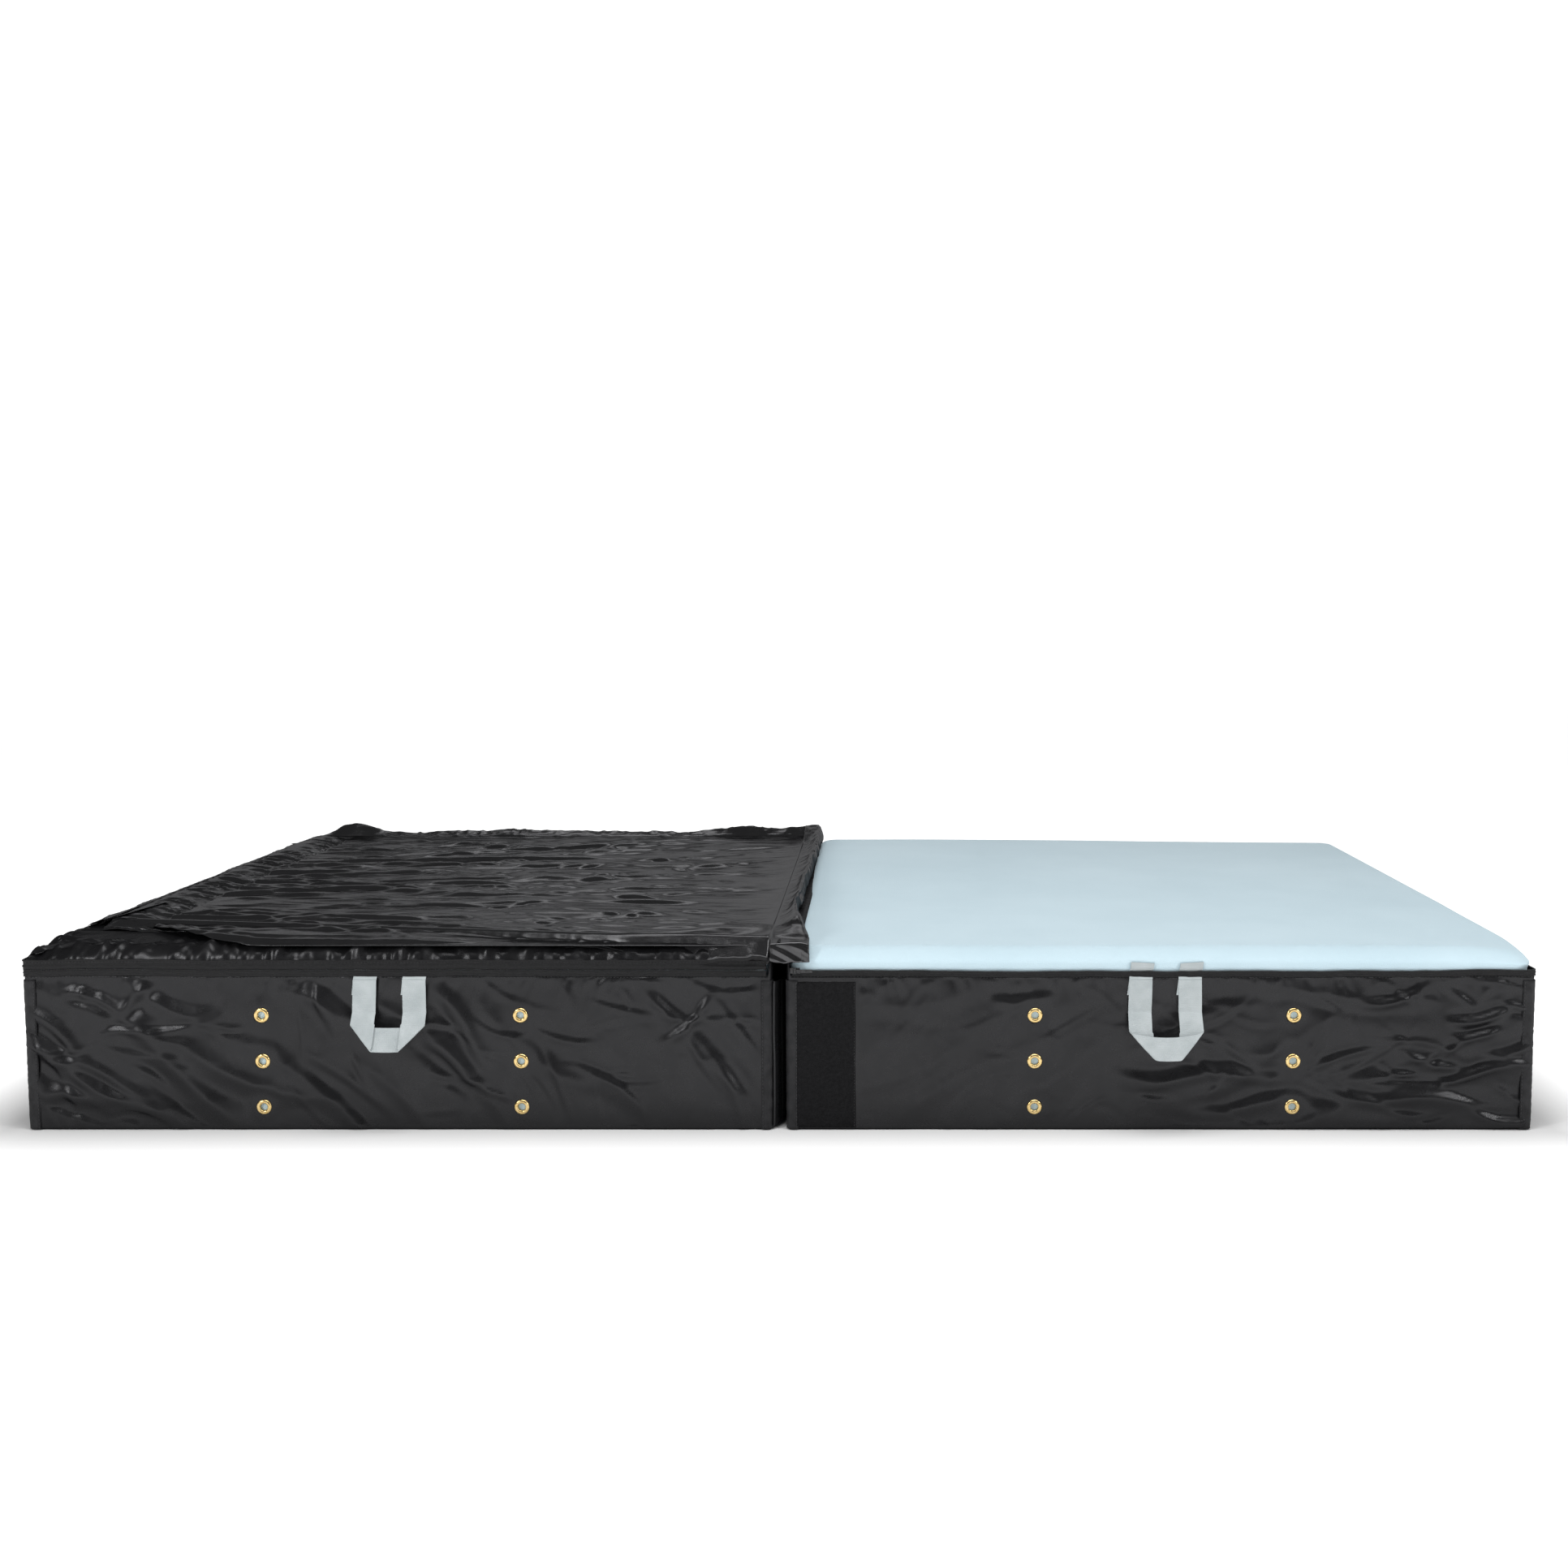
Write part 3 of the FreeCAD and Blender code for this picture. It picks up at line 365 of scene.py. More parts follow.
def foam_block(side):
    """A block lofted from its base to the middle of its crowned top, from rounded outlines."""
    outline = []
    for turn in (-90, 0, 90, 180):
        a = math.radians(turn)
        out, along = np.array([math.cos(a), math.sin(a)]), np.array([-math.sin(a), math.cos(a)])
        for t in np.linspace(-1, 1, 110, endpoint=False):
            outline.append(("flat", out, along, t))
        for t in np.linspace(0, 90, 14, endpoint=False):
            outline.append(("bend", out, along, math.radians(turn + t)))
    levels = [(3.0, FOAM_BASE), (0.8, FOAM_BASE + 1.2), (0.0, FOAM_BASE + 4)]
    crown = FOAM_TOP - (LEFT_CROWN_DROP if side == "left" else 0)
    levels += [(0.0, z) for z in np.linspace(20, crown - FOAM_EASE, 24)]
    for a in np.linspace(8, 90, 11):
        a = math.radians(a)
        levels.append((FOAM_EASE * (1 - math.cos(a)), crown - FOAM_EASE * (1 - math.sin(a))))
    levels += [(inset, crown) for inset in (32, 45, 70, 110, 160, 220, 300, 400, 500, 590)]
    rows = []
    for inset, z in levels:
        reach = FOAM_REACH - inset
        corner = max(FOAM_CORNER - inset * 0.5, 4.0) if inset < 300 else 4.0
        ring = []
        for kind, out, along, t in outline:
            if kind == "flat":
                spot = out * reach + along * t * (reach - corner)
            else:
                spot = (out + along) * (reach - corner) + corner * np.array([math.cos(t), math.sin(t)])
            ring.append((spot[0], spot[1], z))
        rows.append(ring)
    grid = np.array(rows)
    px, py, pz = grid[..., 0], grid[..., 1], grid[..., 2]
    inset = np.array([l[0] for l in levels])[:, None]
    high = ease(pz, 150, 300)
    if side == "right":
        swell = 3.2 * np.exp(-(((pz - 281) / 12.0) ** 2)) * (inset < 24)
        px, py = px * (1 + swell / FOAM_REACH), py * (1 + swell / FOAM_REACH)
    px = px + 0.8 * rumple(81, py, pz, 150, 70) * (1 - high)
    soft = 0.8 * rumple(82, px, py, 190, 160) - 0.9
    if side == "right":
        soft = soft + RIGHT_BACK_RISE * ease(py, -560, 600) * (1 - 0.55 * ease(px, -400, 600))
    pz = pz + soft * ease(pz, 240, crown)
    if side == "left":
        pz = pz - 17 * np.exp(-((np.hypot(px + 609.5, py + 609.5) / 80.0) ** 2)) * ease(pz, 200, 280)
    else:
        pz = pz - 10 * np.exp(-((np.hypot(px - 609.5, py + 609.5) / 70.0) ** 2)) * ease(pz, 268, 290)
    return cloth(f"{side}_foam", HALF_CENTRE[side] + px, py, pz, ring=True, thick=0)


foam_finish, main = shader("open_cell_foam", (0.58, 0.77, 0.86), 0.92, Specular_IOR_Level=0.15, Sheen_Weight=0.2)
mottle = texture(foam_finish, "ShaderNodeTexNoise", Scale=3.5, Detail=6.0, Roughness=0.6)
tint(foam_finish, mottle.outputs["Fac"], (0.52, 0.665, 0.735), (0.57, 0.715, 0.785), main.inputs["Base Color"])
pores = texture(foam_finish, "ShaderNodeTexVoronoi", Scale=560.0)
skin = texture(foam_finish, "ShaderNodeTexNoise", Scale=60.0, Detail=8.0, Roughness=0.7)
relief(foam_finish, main, (skin.outputs["Fac"], 0.0012, 0.25), (pores.outputs["Distance"], 0.0008, 0.35))
for side in ("left", "right"):
    foam = foam_block(side)
    filled = bmesh.new()
    filled.from_mesh(foam.data)
    bmesh.ops.holes_fill(filled, edges=[e for e in filled.edges if e.is_boundary], sides=0)
    bmesh.ops.recalc_face_normals(filled, faces=filled.faces)
    filled.to_mesh(foam.data)
    filled.free()
    foam.data.shade_smooth()
    foam.data.materials.append(foam_finish)
    if side == "right":
        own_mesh(foam)
    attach(foam, f"{side}_half")
    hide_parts(f"{side}_foam_block")

# ---- Zipper round three sides of each half: woven tape with a rolled seam, sewn over the wall's top edge,
# and a moulded coil. The left half's is closed and has its upper tape; the right half's lower side is bare.
COIL_FOOT = 265.0
COIL_PITCH = 2.6
ZIP_RUN = 3638.0
STITCH_PITCH = 5.4
LOWER_TAPE = [(0.2, 255.8), (1.2, 256.2), (1.7, 257.4), (1.1, 258.6), (1.1, 260.4), (1.7, 261.2), (1.8, 262.2),
              (1.2, 263.2), (1.3, 264.6), (0.9, 265.4), (-0.6, 265.2)]
UPPER_TAPE = [(-0.6, 268.0), (0.9, 267.8), (1.5, 268.6), (1.2, 270.0), (2.0, 270.8), (2.5, 272.2), (2.1, 273.6),
              (1.1, 274.4), (1.0, 278.0), (1.2, 280.2), (2.3, 281.2), (2.4, 282.6), (1.4, 283.4), (0.2, 283.8)]

tape_finish, main = shader("woven_zipper_tape", (0.008, 0.008, 0.0087), 0.7, Specular_IOR_Level=0.25)
twill = texture(tape_finish, "ShaderNodeTexWave", Scale=260.0, Distortion=1.2)
twill.bands_direction = "DIAGONAL"
fuzz = texture(tape_finish, "ShaderNodeTexNoise", Scale=420.0, Detail=3.0)
tint(tape_finish, fuzz.outputs["Fac"], (0.006, 0.006, 0.0065), (0.014, 0.014, 0.015), main.inputs["Base Color"])
relief(tape_finish, main, (twill.outputs["Fac"], 0.0005, 0.5), (fuzz.outputs["Fac"], 0.0003, 0.3))
coil_finish, main = shader("moulded_coil", (0.014, 0.014, 0.015), 0.3)
worn = texture(coil_finish, "ShaderNodeTexNoise", Scale=90.0, Detail=4.0)
spread(coil_finish, worn.outputs["Fac"], 0.22, 0.42, main.inputs["Roughness"])
relief(coil_finish, main, (worn.outputs["Fac"], 0.0002, 0.2))


def three_sides(side):
    """The part of the perimeter that the zipper follows: front, outer end and back."""
    x, y, nx, ny, s = perimeter(side)
    last = int(np.searchsorted(s, ZIP_RUN))
    return x[:last], y[:last], nx[:last], ny[:last], s[:last]


def zip_wander(side, s):
    """How the zipper line wanders up and down, and in and out."""
    seed = {"left": 91, "right": 95}[side]
    rise = 0.9 * rumple(seed, s, 0, 70, 1) + 0.35 * rumple(seed + 1, s, 0, 21, 1)
    if side == "right":
        rise = rise - 1.6 * np.sin(np.clip(s / 1216.0, 0, 1) * math.pi) + 1.0 * ease(s, 900, 1200) * (s < 1300)
    return rise, 0.5 * rumple(seed + 2, s, 0, 26, 1) + 0.3


def zipper_tape(name, side, profile, node):
    x, y, nx, ny, s = three_sides(side)
    rise, push = zip_wander(side, s)
    out = np.array([p[0] for p in profile])[:, None] + push[None, :]
    z = np.array([p[1] for p in profile])[:, None] + rise[None, :]
    seam = 0.35 * rumple(97, s[None, :], z, 5, 3)
    tape = cloth(name, x + nx * (out + seam), y + ny * (out + seam), z, flip=side == "left", thick=0.5)
    fitted(tape, tape_finish, f"{side}_half", "zip_tape", node)


def bricks(name, centres, along, out, half_sizes):
    """Many small rounded-looking bricks in one mesh: stitches or teeth, each on its own axes."""
    centres, along, out = (np.asarray(v, float) for v in (centres, along, out))
    up = np.cross(along, out)
    signs = np.array([(i, j, k) for i in (-1, 1) for j in (-1, 1) for k in (-1, 1)], float)
    taper = np.where(signs[:, 1:2] > 0, 0.62, 1.0)
    corners = signs * np.array(half_sizes) * np.concatenate([taper, np.ones((8, 1)), taper], 1)
    co = (centres[:, None, :] + corners[None, :, 0:1] * along[:, None, :]
          + corners[None, :, 1:2] * out[:, None, :] + corners[None, :, 2:3] * up[:, None, :])
    faces = np.array([(0, 1, 3, 2), (4, 6, 7, 5), (0, 4, 5, 1), (2, 3, 7, 6), (0, 2, 6, 4), (1, 5, 7, 3)])
    quads = (faces[None] + 8 * np.arange(len(centres))[:, None, None]).reshape(-1, 4)
    mesh = bpy.data.meshes.new(name)
    mesh.from_pydata((co.reshape(-1, 3) * MM).tolist(), [], quads.tolist())
    piece = bpy.data.objects.new(name, mesh)
    bpy.context.collection.objects.link(piece)
    return piece


def along_zip(side, pitch, z, out):
    """Evenly spaced places on the zipper's line, with the directions along it and outwards."""
    x, y, nx, ny, s = three_sides(side)
    at = np.arange(4.0, s[-1] - 4, pitch)
    rise, push = zip_wander(side, at)
    px, py, qx, qy = (np.interp(at, s, v) for v in (x, y, nx, ny))
    size = np.hypot(qx, qy)
    qx, qy = qx / size, qy / size
    centres = np.stack([px + qx * (out + push), py + qy * (out + push), z + rise], -1)
    outward = np.stack([qx, qy, 0 * qx], -1)
    return centres, np.cross(outward, (0, 0, 1.0)), outward


for side in ("left", "right"):
    zipper_tape(f"{side}_lower_tape", side, LOWER_TAPE, f"{side}_lower_zip_tape")
    tall = 3.0 if side == "left" else 1.7
    places = along_zip(side, COIL_PITCH, COIL_FOOT + tall / 2, 0.2)
    coil = bricks(f"{side}_coil_teeth", *places, (0.85, 1.2, tall / 2))
    fitted(coil, coil_finish, f"{side}_half", "zip_coil", f"{side}_zip_coil")
zipper_tape("left_upper_tape", "left", UPPER_TAPE, "left_upper_zip_tape")

thread_finish, main = shader("bonded_thread", (0.03, 0.03, 0.032), 0.5)
ply = texture(thread_finish, "ShaderNodeTexWave", Scale=900.0, turn=(0, 0.6, 0.6))
relief(thread_finish, main, (ply.outputs["Fac"], 0.0002, 0.6))
spread(thread_finish, ply.outputs["Fac"], 0.42, 0.6, main.inputs["Roughness"])
for side, levels in (("left", (255.0, 279.2)), ("right", (255.0,))):
    for row, z in enumerate(levels):
        seam = bricks(f"{side}_zip_stitches_{row}", *along_zip(side, STITCH_PITCH, z, 1.25), (1.7, 0.35, 0.32))
        fitted(seam, thread_finish, f"{side}_half", "zip_tape")

# ---- Left half's lid, zipped shut: one cut of coated nylon that rounds over the foam's edge.
# It is gathered along the zipper and puckers in short pleats beside it.
LID_EDGE = 28.0
x, y, nx, ny, s = perimeter("left")
ring_x, ring_y, ring_z = [], [], []
hinge = ease(s, 3640, 3652) * (1 - ease(s, s[-1] - 10, s[-1]))
for z in (275.6, 277.0, 279.0):
    ring_x.append(x), ring_y.append(y), ring_z.append(z * (1 - hinge) + 303.0 * hinge)
for a in np.linspace(6, 90, 12):
    a = math.radians(a)
    inset = LID_EDGE * (1 - math.cos(a))
    level = 304.6 - LID_EDGE * (1 - math.sin(a))
    ring_x.append(x - nx * inset * (1 - 0.8 * hinge)), ring_y.append(y - ny * inset)
    ring_z.append(level * (1 - hinge) + 304.4 * hinge)
for inset in (31, 35, 40, 46, 53, 61, 70, 80, 92, 106, 122, 140, 165, 200, 240, 300, 380, 470, 560, 600):
    px, py, *_ = perimeter("left", -float(inset))
    ring_x.append(px), ring_y.append(py), ring_z.append(np.full_like(px, 304.6))
rx, ry, rz = np.array(ring_x), np.array(ring_y), np.array(ring_z)
inset = np.minimum(HALF_LENGTH - np.abs(ry), HALF_LENGTH - np.abs(rx - HALF_CENTRE["left"]))
gather = 1.6 * pinched(121, s[None, :] + 0.3 * inset, 0.4 * inset, 15, 60)
gather = gather * np.exp(-np.clip(inset - 6, 0, None) / 30.0)
gather = gather + creases(124, 120, rx, ry, (-1228, -12, -606, -556), (50, 130), (6, 11), (2.2, 5.5),
                          lambda u, v: 78 + 18 * math.sin(u / 50.0))
gather = gather + creases(125, 70, rx, ry, (-1230, -1150, -600, 600), (50, 120), (6, 11), (2.0, 5.0),
                          lambda u, v: 12 * math.sin(v / 40.0))
gather = gather + 1.6 * rumple(122, rx + ry, ry, 70, 45)
lid_line = -611.4 + 0.151 * (-16 - rx)
free = ease(lid_line - ry, 20, 60)
rise = np.clip(gather, -1.0, 1.0 + 7.0 * free) * ease(rz, 277, 300) * (1 - 0.9 * hinge[None, :])
squashed = np.hypot(rx + 1231, ry + 609.5)
rise = rise - 13 * np.exp(-((squashed / 75.0) ** 2)) * ease(rz, 277, 300)
push = 3.0 * pinched(123, s[None, :], rz, 13, 40) * ease(rz, 276, 284)
push = push * (1 - ease(rz, 296, 304)) * (1 - hinge[None, :])
left_lid = cloth("left_lid_cover", rx + nx * push, ry + ny * push, rz + rise, ring=True, flip=True)
fitted(left_lid, nylon, "left_half", "cover_vinyl", "left_lid_sheet", "left_lid_band")

# ---- Hinge between the halves: a strip of coated nylon over the gap, sewn along both top edges.
# Its crease stands up in the middle.
across = np.array([(-32, 306.4), (-24, 306.7), (-14, 306.3), (-9, 308.4), (-4, 311.2), (0, 312.7),
                   (4, 311.0), (9, 307.6), (14, 305.2), (24, 305.0), (32, 304.8)], float)
v = np.linspace(-608, 608, 160)
wave = 0.5 * rumple(131, v, 0, 22, 1)
hx = across[:, 0][:, None] + 0 * v[None, :]
hz = across[:, 1][:, None] + wave[None, :] * (np.abs(across[:, 0]) < 26)[:, None] * 0.6
hinge_cloth = cloth("hinge_cloth", hx, v[None, :] + 0 * hx, hz, flip=True, thick=0.8)
hinge_cloth.data.materials.append(nylon)
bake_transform(hinge_cloth)
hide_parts("left_hinge_leaf", "right_hinge_leaf")

# ---- Right half's lid, thrown back with its dull side up: one cut of nylon, pulled taut to the hinge and slack
# towards its outer end, so its creases run along the mat and fan out. Its front edge is gathered.
LID_START, LID_END = -16.0, -1172.9
LID_FRONT, LID_BACK = -611.4, 611.4
LID_SLANT = math.radians(8.7003)
LID_SEAM = 319.5
LID_RUN = 1156.9
LID_MIDDLE, LID_RELIEF = 315.6, 7.2
LID_LOWEST = 307.4
lid_nylon = coated_nylon("coated_nylon_inside", (0.004, 0.004, 0.0043), (0.008, 0.008, 0.0085), 0.15, 0.25,
                         0.12, 0.070)

u = np.linspace(0, 1, 300)[None, :]
v = np.linspace(0, 1, 340)[:, None]
freed = ease(u, 0.70, 1.0) * LID_SLANT
front_x = LID_START - (LID_START - LID_END) * u * np.cos(freed)
front_y = LID_FRONT + (LID_START - LID_END) * u * np.sin(freed)
back_x = LID_START + (LID_END - LID_START) * u
settle = 1 - (1 - v) ** 3
lx = front_x + (back_x - front_x) * settle
ly = front_y + (LID_BACK - front_y) * v
flow = ly * (1 + 0.16 * u) - 40 * u * np.sin(v * 3.0) + 16 * rumple(141, lx, ly, 260, 150)
streak = 1.5 * pinched(142, flow, lx, 62, 900) + 1.0 * pinched(143, flow + 0.10 * lx, lx, 30, 700)
streak = streak + 0.3 * pinched(144, flow - 0.12 * lx, lx, 15, 420)


def pull(x, y):
    """Direction of the lid's creases: they fan out from its outer end to both ends of the hinge."""
    return 4 + y / 34.0 * (0.5 + 0.5 * float(ease(x, -1000, -100)))


streak = streak + creases(148, 64, lx, ly, (-1150, -60, -600, 600), (600, 1150), (7, 15), (1.8, 4.5), pull)
streak = streak + creases(149, 130, lx, ly, (-1150, -60, -610, 600), (260, 700), (4.5, 7), (0.8, 2.4), pull)
LID_FOLDS = [(-1134, 107, -835, 86, 6, 13), (-835, 86, -560, 190, 6, 13), (-691, 195, -296, 540, 6, 12),
             (-1075, -168, -890, -95, 5, 11), (-930, -80, -601, -168, 7, 14), (-640, -168, -250, -215, 6, 12),
             (-909, -402, -543, -400, 6, 13), (-560, -400, -290, -560, 6, 14), (-916, 560, -557, 410, 6, 13),
             (-557, 410, -200, 570, 6, 12), (-1051, -331, -729, -540, 6, 10), (-560, -480, -163, -345, 6, 12),
             (-457, -17, -108, 252, 6, 12), (-892, 252, -378, 311, 6, 12)]
for fold in LID_FOLDS:
    streak = streak + set_fold(lx, ly, fold)
by_hinge = np.exp(-(u * 1157) / 110.0)
streak = streak * (1 - 0.8 * by_hinge)
near_end = 1 - ease((1 - u) * 1157, 84, 92)
pleats = 3.2 * pinched(155, ly + 0.35 * lx, lx, 17, 130) + 1.2 * pinched(156, ly - 0.3 * lx, lx, 9, 60)
pleats = pleats - 3.5 + 7.5 * ease((1 - u) * 1157, 84, 14)
seam_line = -3.0 * np.exp(-((((1 - u) * 1157 - 88) / 4.0) ** 2))
streak = streak * (1 - 0.7 * near_end) + pleats * near_end + seam_line
waves = 2.6 * rumple(146, lx, ly, 230, 110)
waves = waves + 6.0 * np.exp(-(((ly + 488) / 34.0) ** 2)) * (1 - ease(u, 0.45, 0.8))
waves = waves - 3.0 * (1 - ease(ly, -610, -520))
near_edge = np.minimum(np.minimum(v, 1 - v) * 1100, (1 - u) * 1150)
hem = 1.6 * np.exp(-near_edge / 26.0) * rumple(147, lx + ly, ly - lx, 15, 30)
seamed = np.exp(-np.minimum((1 - v) * 1100, (1 - u) * 1150) / 14.0)
rolled = np.exp(-(((v - 0.012) * 1100) / 9.0) ** 2) * 3.5 + 2.0 * np.exp(-(((v - 0.035) * 1100) / 7.0) ** 2)
body = LID_MIDDLE + LID_RELIEF * np.tanh((streak * (0.8 + 0.3 * u) + waves + hem + rolled - 0.8) / LID_RELIEF)
body = body * (1 - seamed) + (LID_SEAM + 0.4 * hem) * seamed
droop = ease(v, 0.0, 0.02) + (1 - ease(v, 0.0, 0.02)) * ease(u, 0.62, 0.85)
body = body - 9.0 * (1 - droop)
joined = np.exp(-(u * 1157) / 30.0)
body = body * (1 - joined) + 320.4 * joined
ridge_line = -500 - 0.46 * (lx + 16)
sagging = 13.5 * np.clip((ridge_line - ly) / 112.0, 0, 1) * (1 - ease(u, 0.16, 0.55))
body = body - sagging * (0.8 + 0.2 * rumple(158, lx, ly, 120, 22))
body = np.maximum(body, LID_LOWEST)
right_lid = cloth("right_lid_cloth", lx, ly, body, flip=True)
right_lid.data.materials.append(lid_nylon)
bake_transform(right_lid)
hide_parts("right_lid_sheet", "lid_front_pleat")

# ---- The lid's turn-over at the hinge: slack cloth that comes up off the right half, rolls over and goes down
# to the lid. Its front end hangs over the foam's front edge and its back end stands up.
STANDING_END, HANGING_END = 345.0, 280.0
turn = np.array([(-16, 320.2), (-9, 321.4), (0, 324.4), (9, 329.0), (19, 334.6), (29, 337.0), (38, 334.5),
                 (44, 328.5), (47, 321.0), (46.5, 313.5), (43, 308.0), (38, 305.4), (34, 304.9)], float)
v = np.concatenate([np.linspace(-612.5, -590, 12)[:-1], np.linspace(-590, 611, 320)])
w = np.linspace(0, 1, 44)[:, None]
grown = np.stack([np.interp(np.linspace(0, 12, 44), np.arange(13), turn[:, k]) for k in (0, 1)])
edge = np.interp(v, [-612, -560, -470, -380, -200, 0, 300, 611], [50, 47, 30, 17, 20, 21, 24, 25])
reach = (edge + 0.9 * rumple(151, v, 0, 40, 1) * 2 + 16) / 63.0
tx = -16 + (grown[0][:, None] + 16) * (1 - (1 - reach[None, :]) * ease(w, 0.05, 0.6))
crest = 1 + 0.14 * np.exp(-(((v + 375) / 60.0) ** 2)) - 0.30 * (1 - ease(v, -612, -520))
crest = crest + 0.09 * rumple(152, v, 0, 90, 1)
tz = 304 + (grown[1][:, None] - 304) * (1 + (crest[None, :] - 1) * ease(w, 0.04, 0.4) * (1 - ease(w, 0.85, 1)))
ripple = 1.7 * pinched(153, v[None, :] + 60 * w, w * 90, 26, 70) + 0.8 * rumple(154, v[None, :], w * 60, 9, 30)
ragged = np.exp(-(((v + 250) / 90.0) ** 2))[None, :] * 3.0
ragged = ragged * pinched(157, v[None, :] - 40 * w, w * 60, 17, 16) * (w > 0.5)
standing = ease(v, 470, 611)[None, :] * (1 - ease(w, 0.34, 0.5))
tz = tz + (STANDING_END - tz) * standing
ripple = (ripple + ragged) * ease(w, 0.02, 0.2) * (1 - ease(w, 0.82, 0.97))
tx, tz = tx + 0.5 * ripple * (w > 0.4), tz + ripple * (w < 0.75)
tz = tz - (tz - 304) * 0.62 * (1 - ease(v, -612, -500))[None, :] * ease(w, 0, 0.02)
tz = np.where(w > 0.9, np.maximum(tz, 304.6), tz)
fall = np.linspace(1, 0, 15)[None, :-1]
hanging_x = tx[:, :1] + 3.0 * fall * np.sin(w * 9.0)
hanging_z = tz[:, :1] + (HANGING_END + 2.5 * rumple(159, w * 60, 0, 12, 1) - tz[:, :1]) * fall
wrinkle = 1.8 * pinched(160, hanging_z + 0.5 * hanging_x, hanging_x, 8, 40) * ease(fall, 0, 0.3)
hanging_y = -612.8 - 3.4 * np.sin(fall * math.pi / 2) - wrinkle
tx, tz = np.hstack([hanging_x, tx]), np.hstack([hanging_z, tz])
ty = np.hstack([np.minimum(hanging_y, -612.6), v[None, :] + 0 * w])
lid_fold = cloth("lid_fold", tx, ty, tz, flip=True)
fitted(lid_fold, lid_nylon, "right_lid", "cover_vinyl", "lid_turn_over")
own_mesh(lid_fold)

# ---- The lid's hem: bands that cover the zipper when the lid is closed, with their half of the zipper on the
# edge. They flop outwards on the lid's seam, gathered where the cloth is slack, and droop over the mat's edge.
BAND = 31.8
CORNER_SEAM = 321.75
HEMS = {
    "front": dict(foot=(LID_START, LID_FRONT), turn=LID_SLANT, run=LID_RUN, level=LID_SEAM, seed=161),
    "back": dict(foot=(LID_START, LID_BACK), turn=0.0, run=LID_RUN, level=LID_SEAM, seed=171),
    "end": dict(foot=(LID_END, 609.8), turn=0.0, run=1046.2, level=LID_SEAM, seed=181),
    "corner": dict(foot=None, turn=LID_SLANT, run=157.8, level=CORNER_SEAM, seed=191),
}
slant = Vector((-math.cos(LID_SLANT), math.sin(LID_SLANT), 0))
front_out = Vector((-math.sin(LID_SLANT), -math.cos(LID_SLANT), 0))
corner_foot = Vector((LID_START, LID_FRONT, 0)) + slant * LID_RUN - front_out * 1.6
DIRECTIONS = {
    "front": (slant, front_out),
    "back": (Vector((-1, 0, 0)), Vector((0, 1, 0))),
    "end": (Vector((0, -1, 0)), Vector((-1, 0, 0))),
    "corner": (-front_out, slant),
}


def hem_droop(face, t):
    """How steeply the band falls from its seam, in degrees, along its length."""
    if face == "front":
        return 14 + 52 * (1 - ease(t, 60, 330))
    if face == "back":
        rise = 15 + 20 * (1 - ease(t, 0, 330)) + 34 * ease(t, 990, 1070) + 4 * rumple(172, t, 0, 160, 1)
        return -rise * (1 - ease(t, 1066, 1157)) + 8 * ease(t, 1066, 1157)
    return 19 + 0 * t


for face, hem in HEMS.items():
    along, out = DIRECTIONS[face]
    foot = corner_foot if hem["foot"] is None else Vector((*hem["foot"], 0))
    for part, (start, stop, rows) in {"hem": (-5.0, BAND, 14), "tape": (BAND - 9, BAND + 4.5, 6)}.items():
        t = np.linspace(0, hem["run"], int(hem["run"] / 4))[None, :]
        w = np.linspace(start, stop, rows)[:, None]
        slope = np.radians(hem_droop(face, t) + 7 * rumple(hem["seed"], t, 0, 70, 1))
        deep = np.clip(w / BAND, 0, 1)
        ripple = 1.7 * pinched(hem["seed"] + 1, t, w, 19, 60) * ease(deep, 0.05, 0.5)
        ripple = ripple + 0.7 * rumple(hem["seed"] + 2, t, w, 8, 14) * ease(deep, 0.02, 0.3)
        ridge = 0.8 * np.exp(-(((w - 7) / 1.4) ** 2)) + 0.7 * np.exp(-(((w - BAND + 2) / 1.3) ** 2))
        level = hem["level"] - w * np.sin(slope) + ripple + ridge
        level = level - (1.5 if part == "tape" else 1.2 * (1 - ease(w, -5, 2)))
        if face == "front":
            level = level - 8.5 * ease(w, 0, 12) * ease(t, 20, 120) * (1 - ease(t, 1040, 1140))
        if face in ("end", "corner"):
            level = np.maximum(level, 306.6)
        side_way = w * np.cos(slope)
        px = foot.x + along.x * t + out.x * side_way
        py = foot.y + along.y * t + out.y * side_way
        piece = cloth(f"lid_{face}_{part}_cloth", px, py, level, flip=face in ("end", "back"), thick=0.6)
        finish, slot, node = (lid_nylon, "cover_vinyl", "band") if part == "hem" else (
            tape_finish, "zip_tape", "zip_tape")
        fitted(piece, finish, f"lid_{face}_band", slot, f"lid_{face}_{node}")
        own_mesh(piece)

# ---- Handles: grey polyester webbing, sewn under the zipper seam. Each loop hangs flat on the wall and turns
# at the bottom, where both legs fold over on a slanting line and the webbing runs level between them. Its
# tails are sewn inside the wall.
WEBBING_HALF = 19.0
WEBBING_THICK = 1.7
LOOP_HALF = 40.0
LOOP_STAND_OFF = 2.8
LOOP_SEAM = 249.7
FOLD_RADIUS = 2.2
webbing_finish, main = shader("polyester_webbing", (0.40, 0.44, 0.45), 0.62, Specular_IOR_Level=0.35)
rows_across = texture(webbing_finish, "ShaderNodeTexWave", Scale=150.0, Distortion=0.5)
rows_across.bands_direction = "Z"
yarn = texture(webbing_finish, "ShaderNodeTexWave", Scale=210.0, Distortion=0.8)
yarn.bands_direction = "DIAGONAL"
soil = texture(webbing_finish, "ShaderNodeTexNoise", Scale=40.0, Detail=5.0)
tint(webbing_finish, soil.outputs["Fac"], (0.37, 0.41, 0.42), (0.46, 0.50, 0.51), main.inputs["Base Color"])
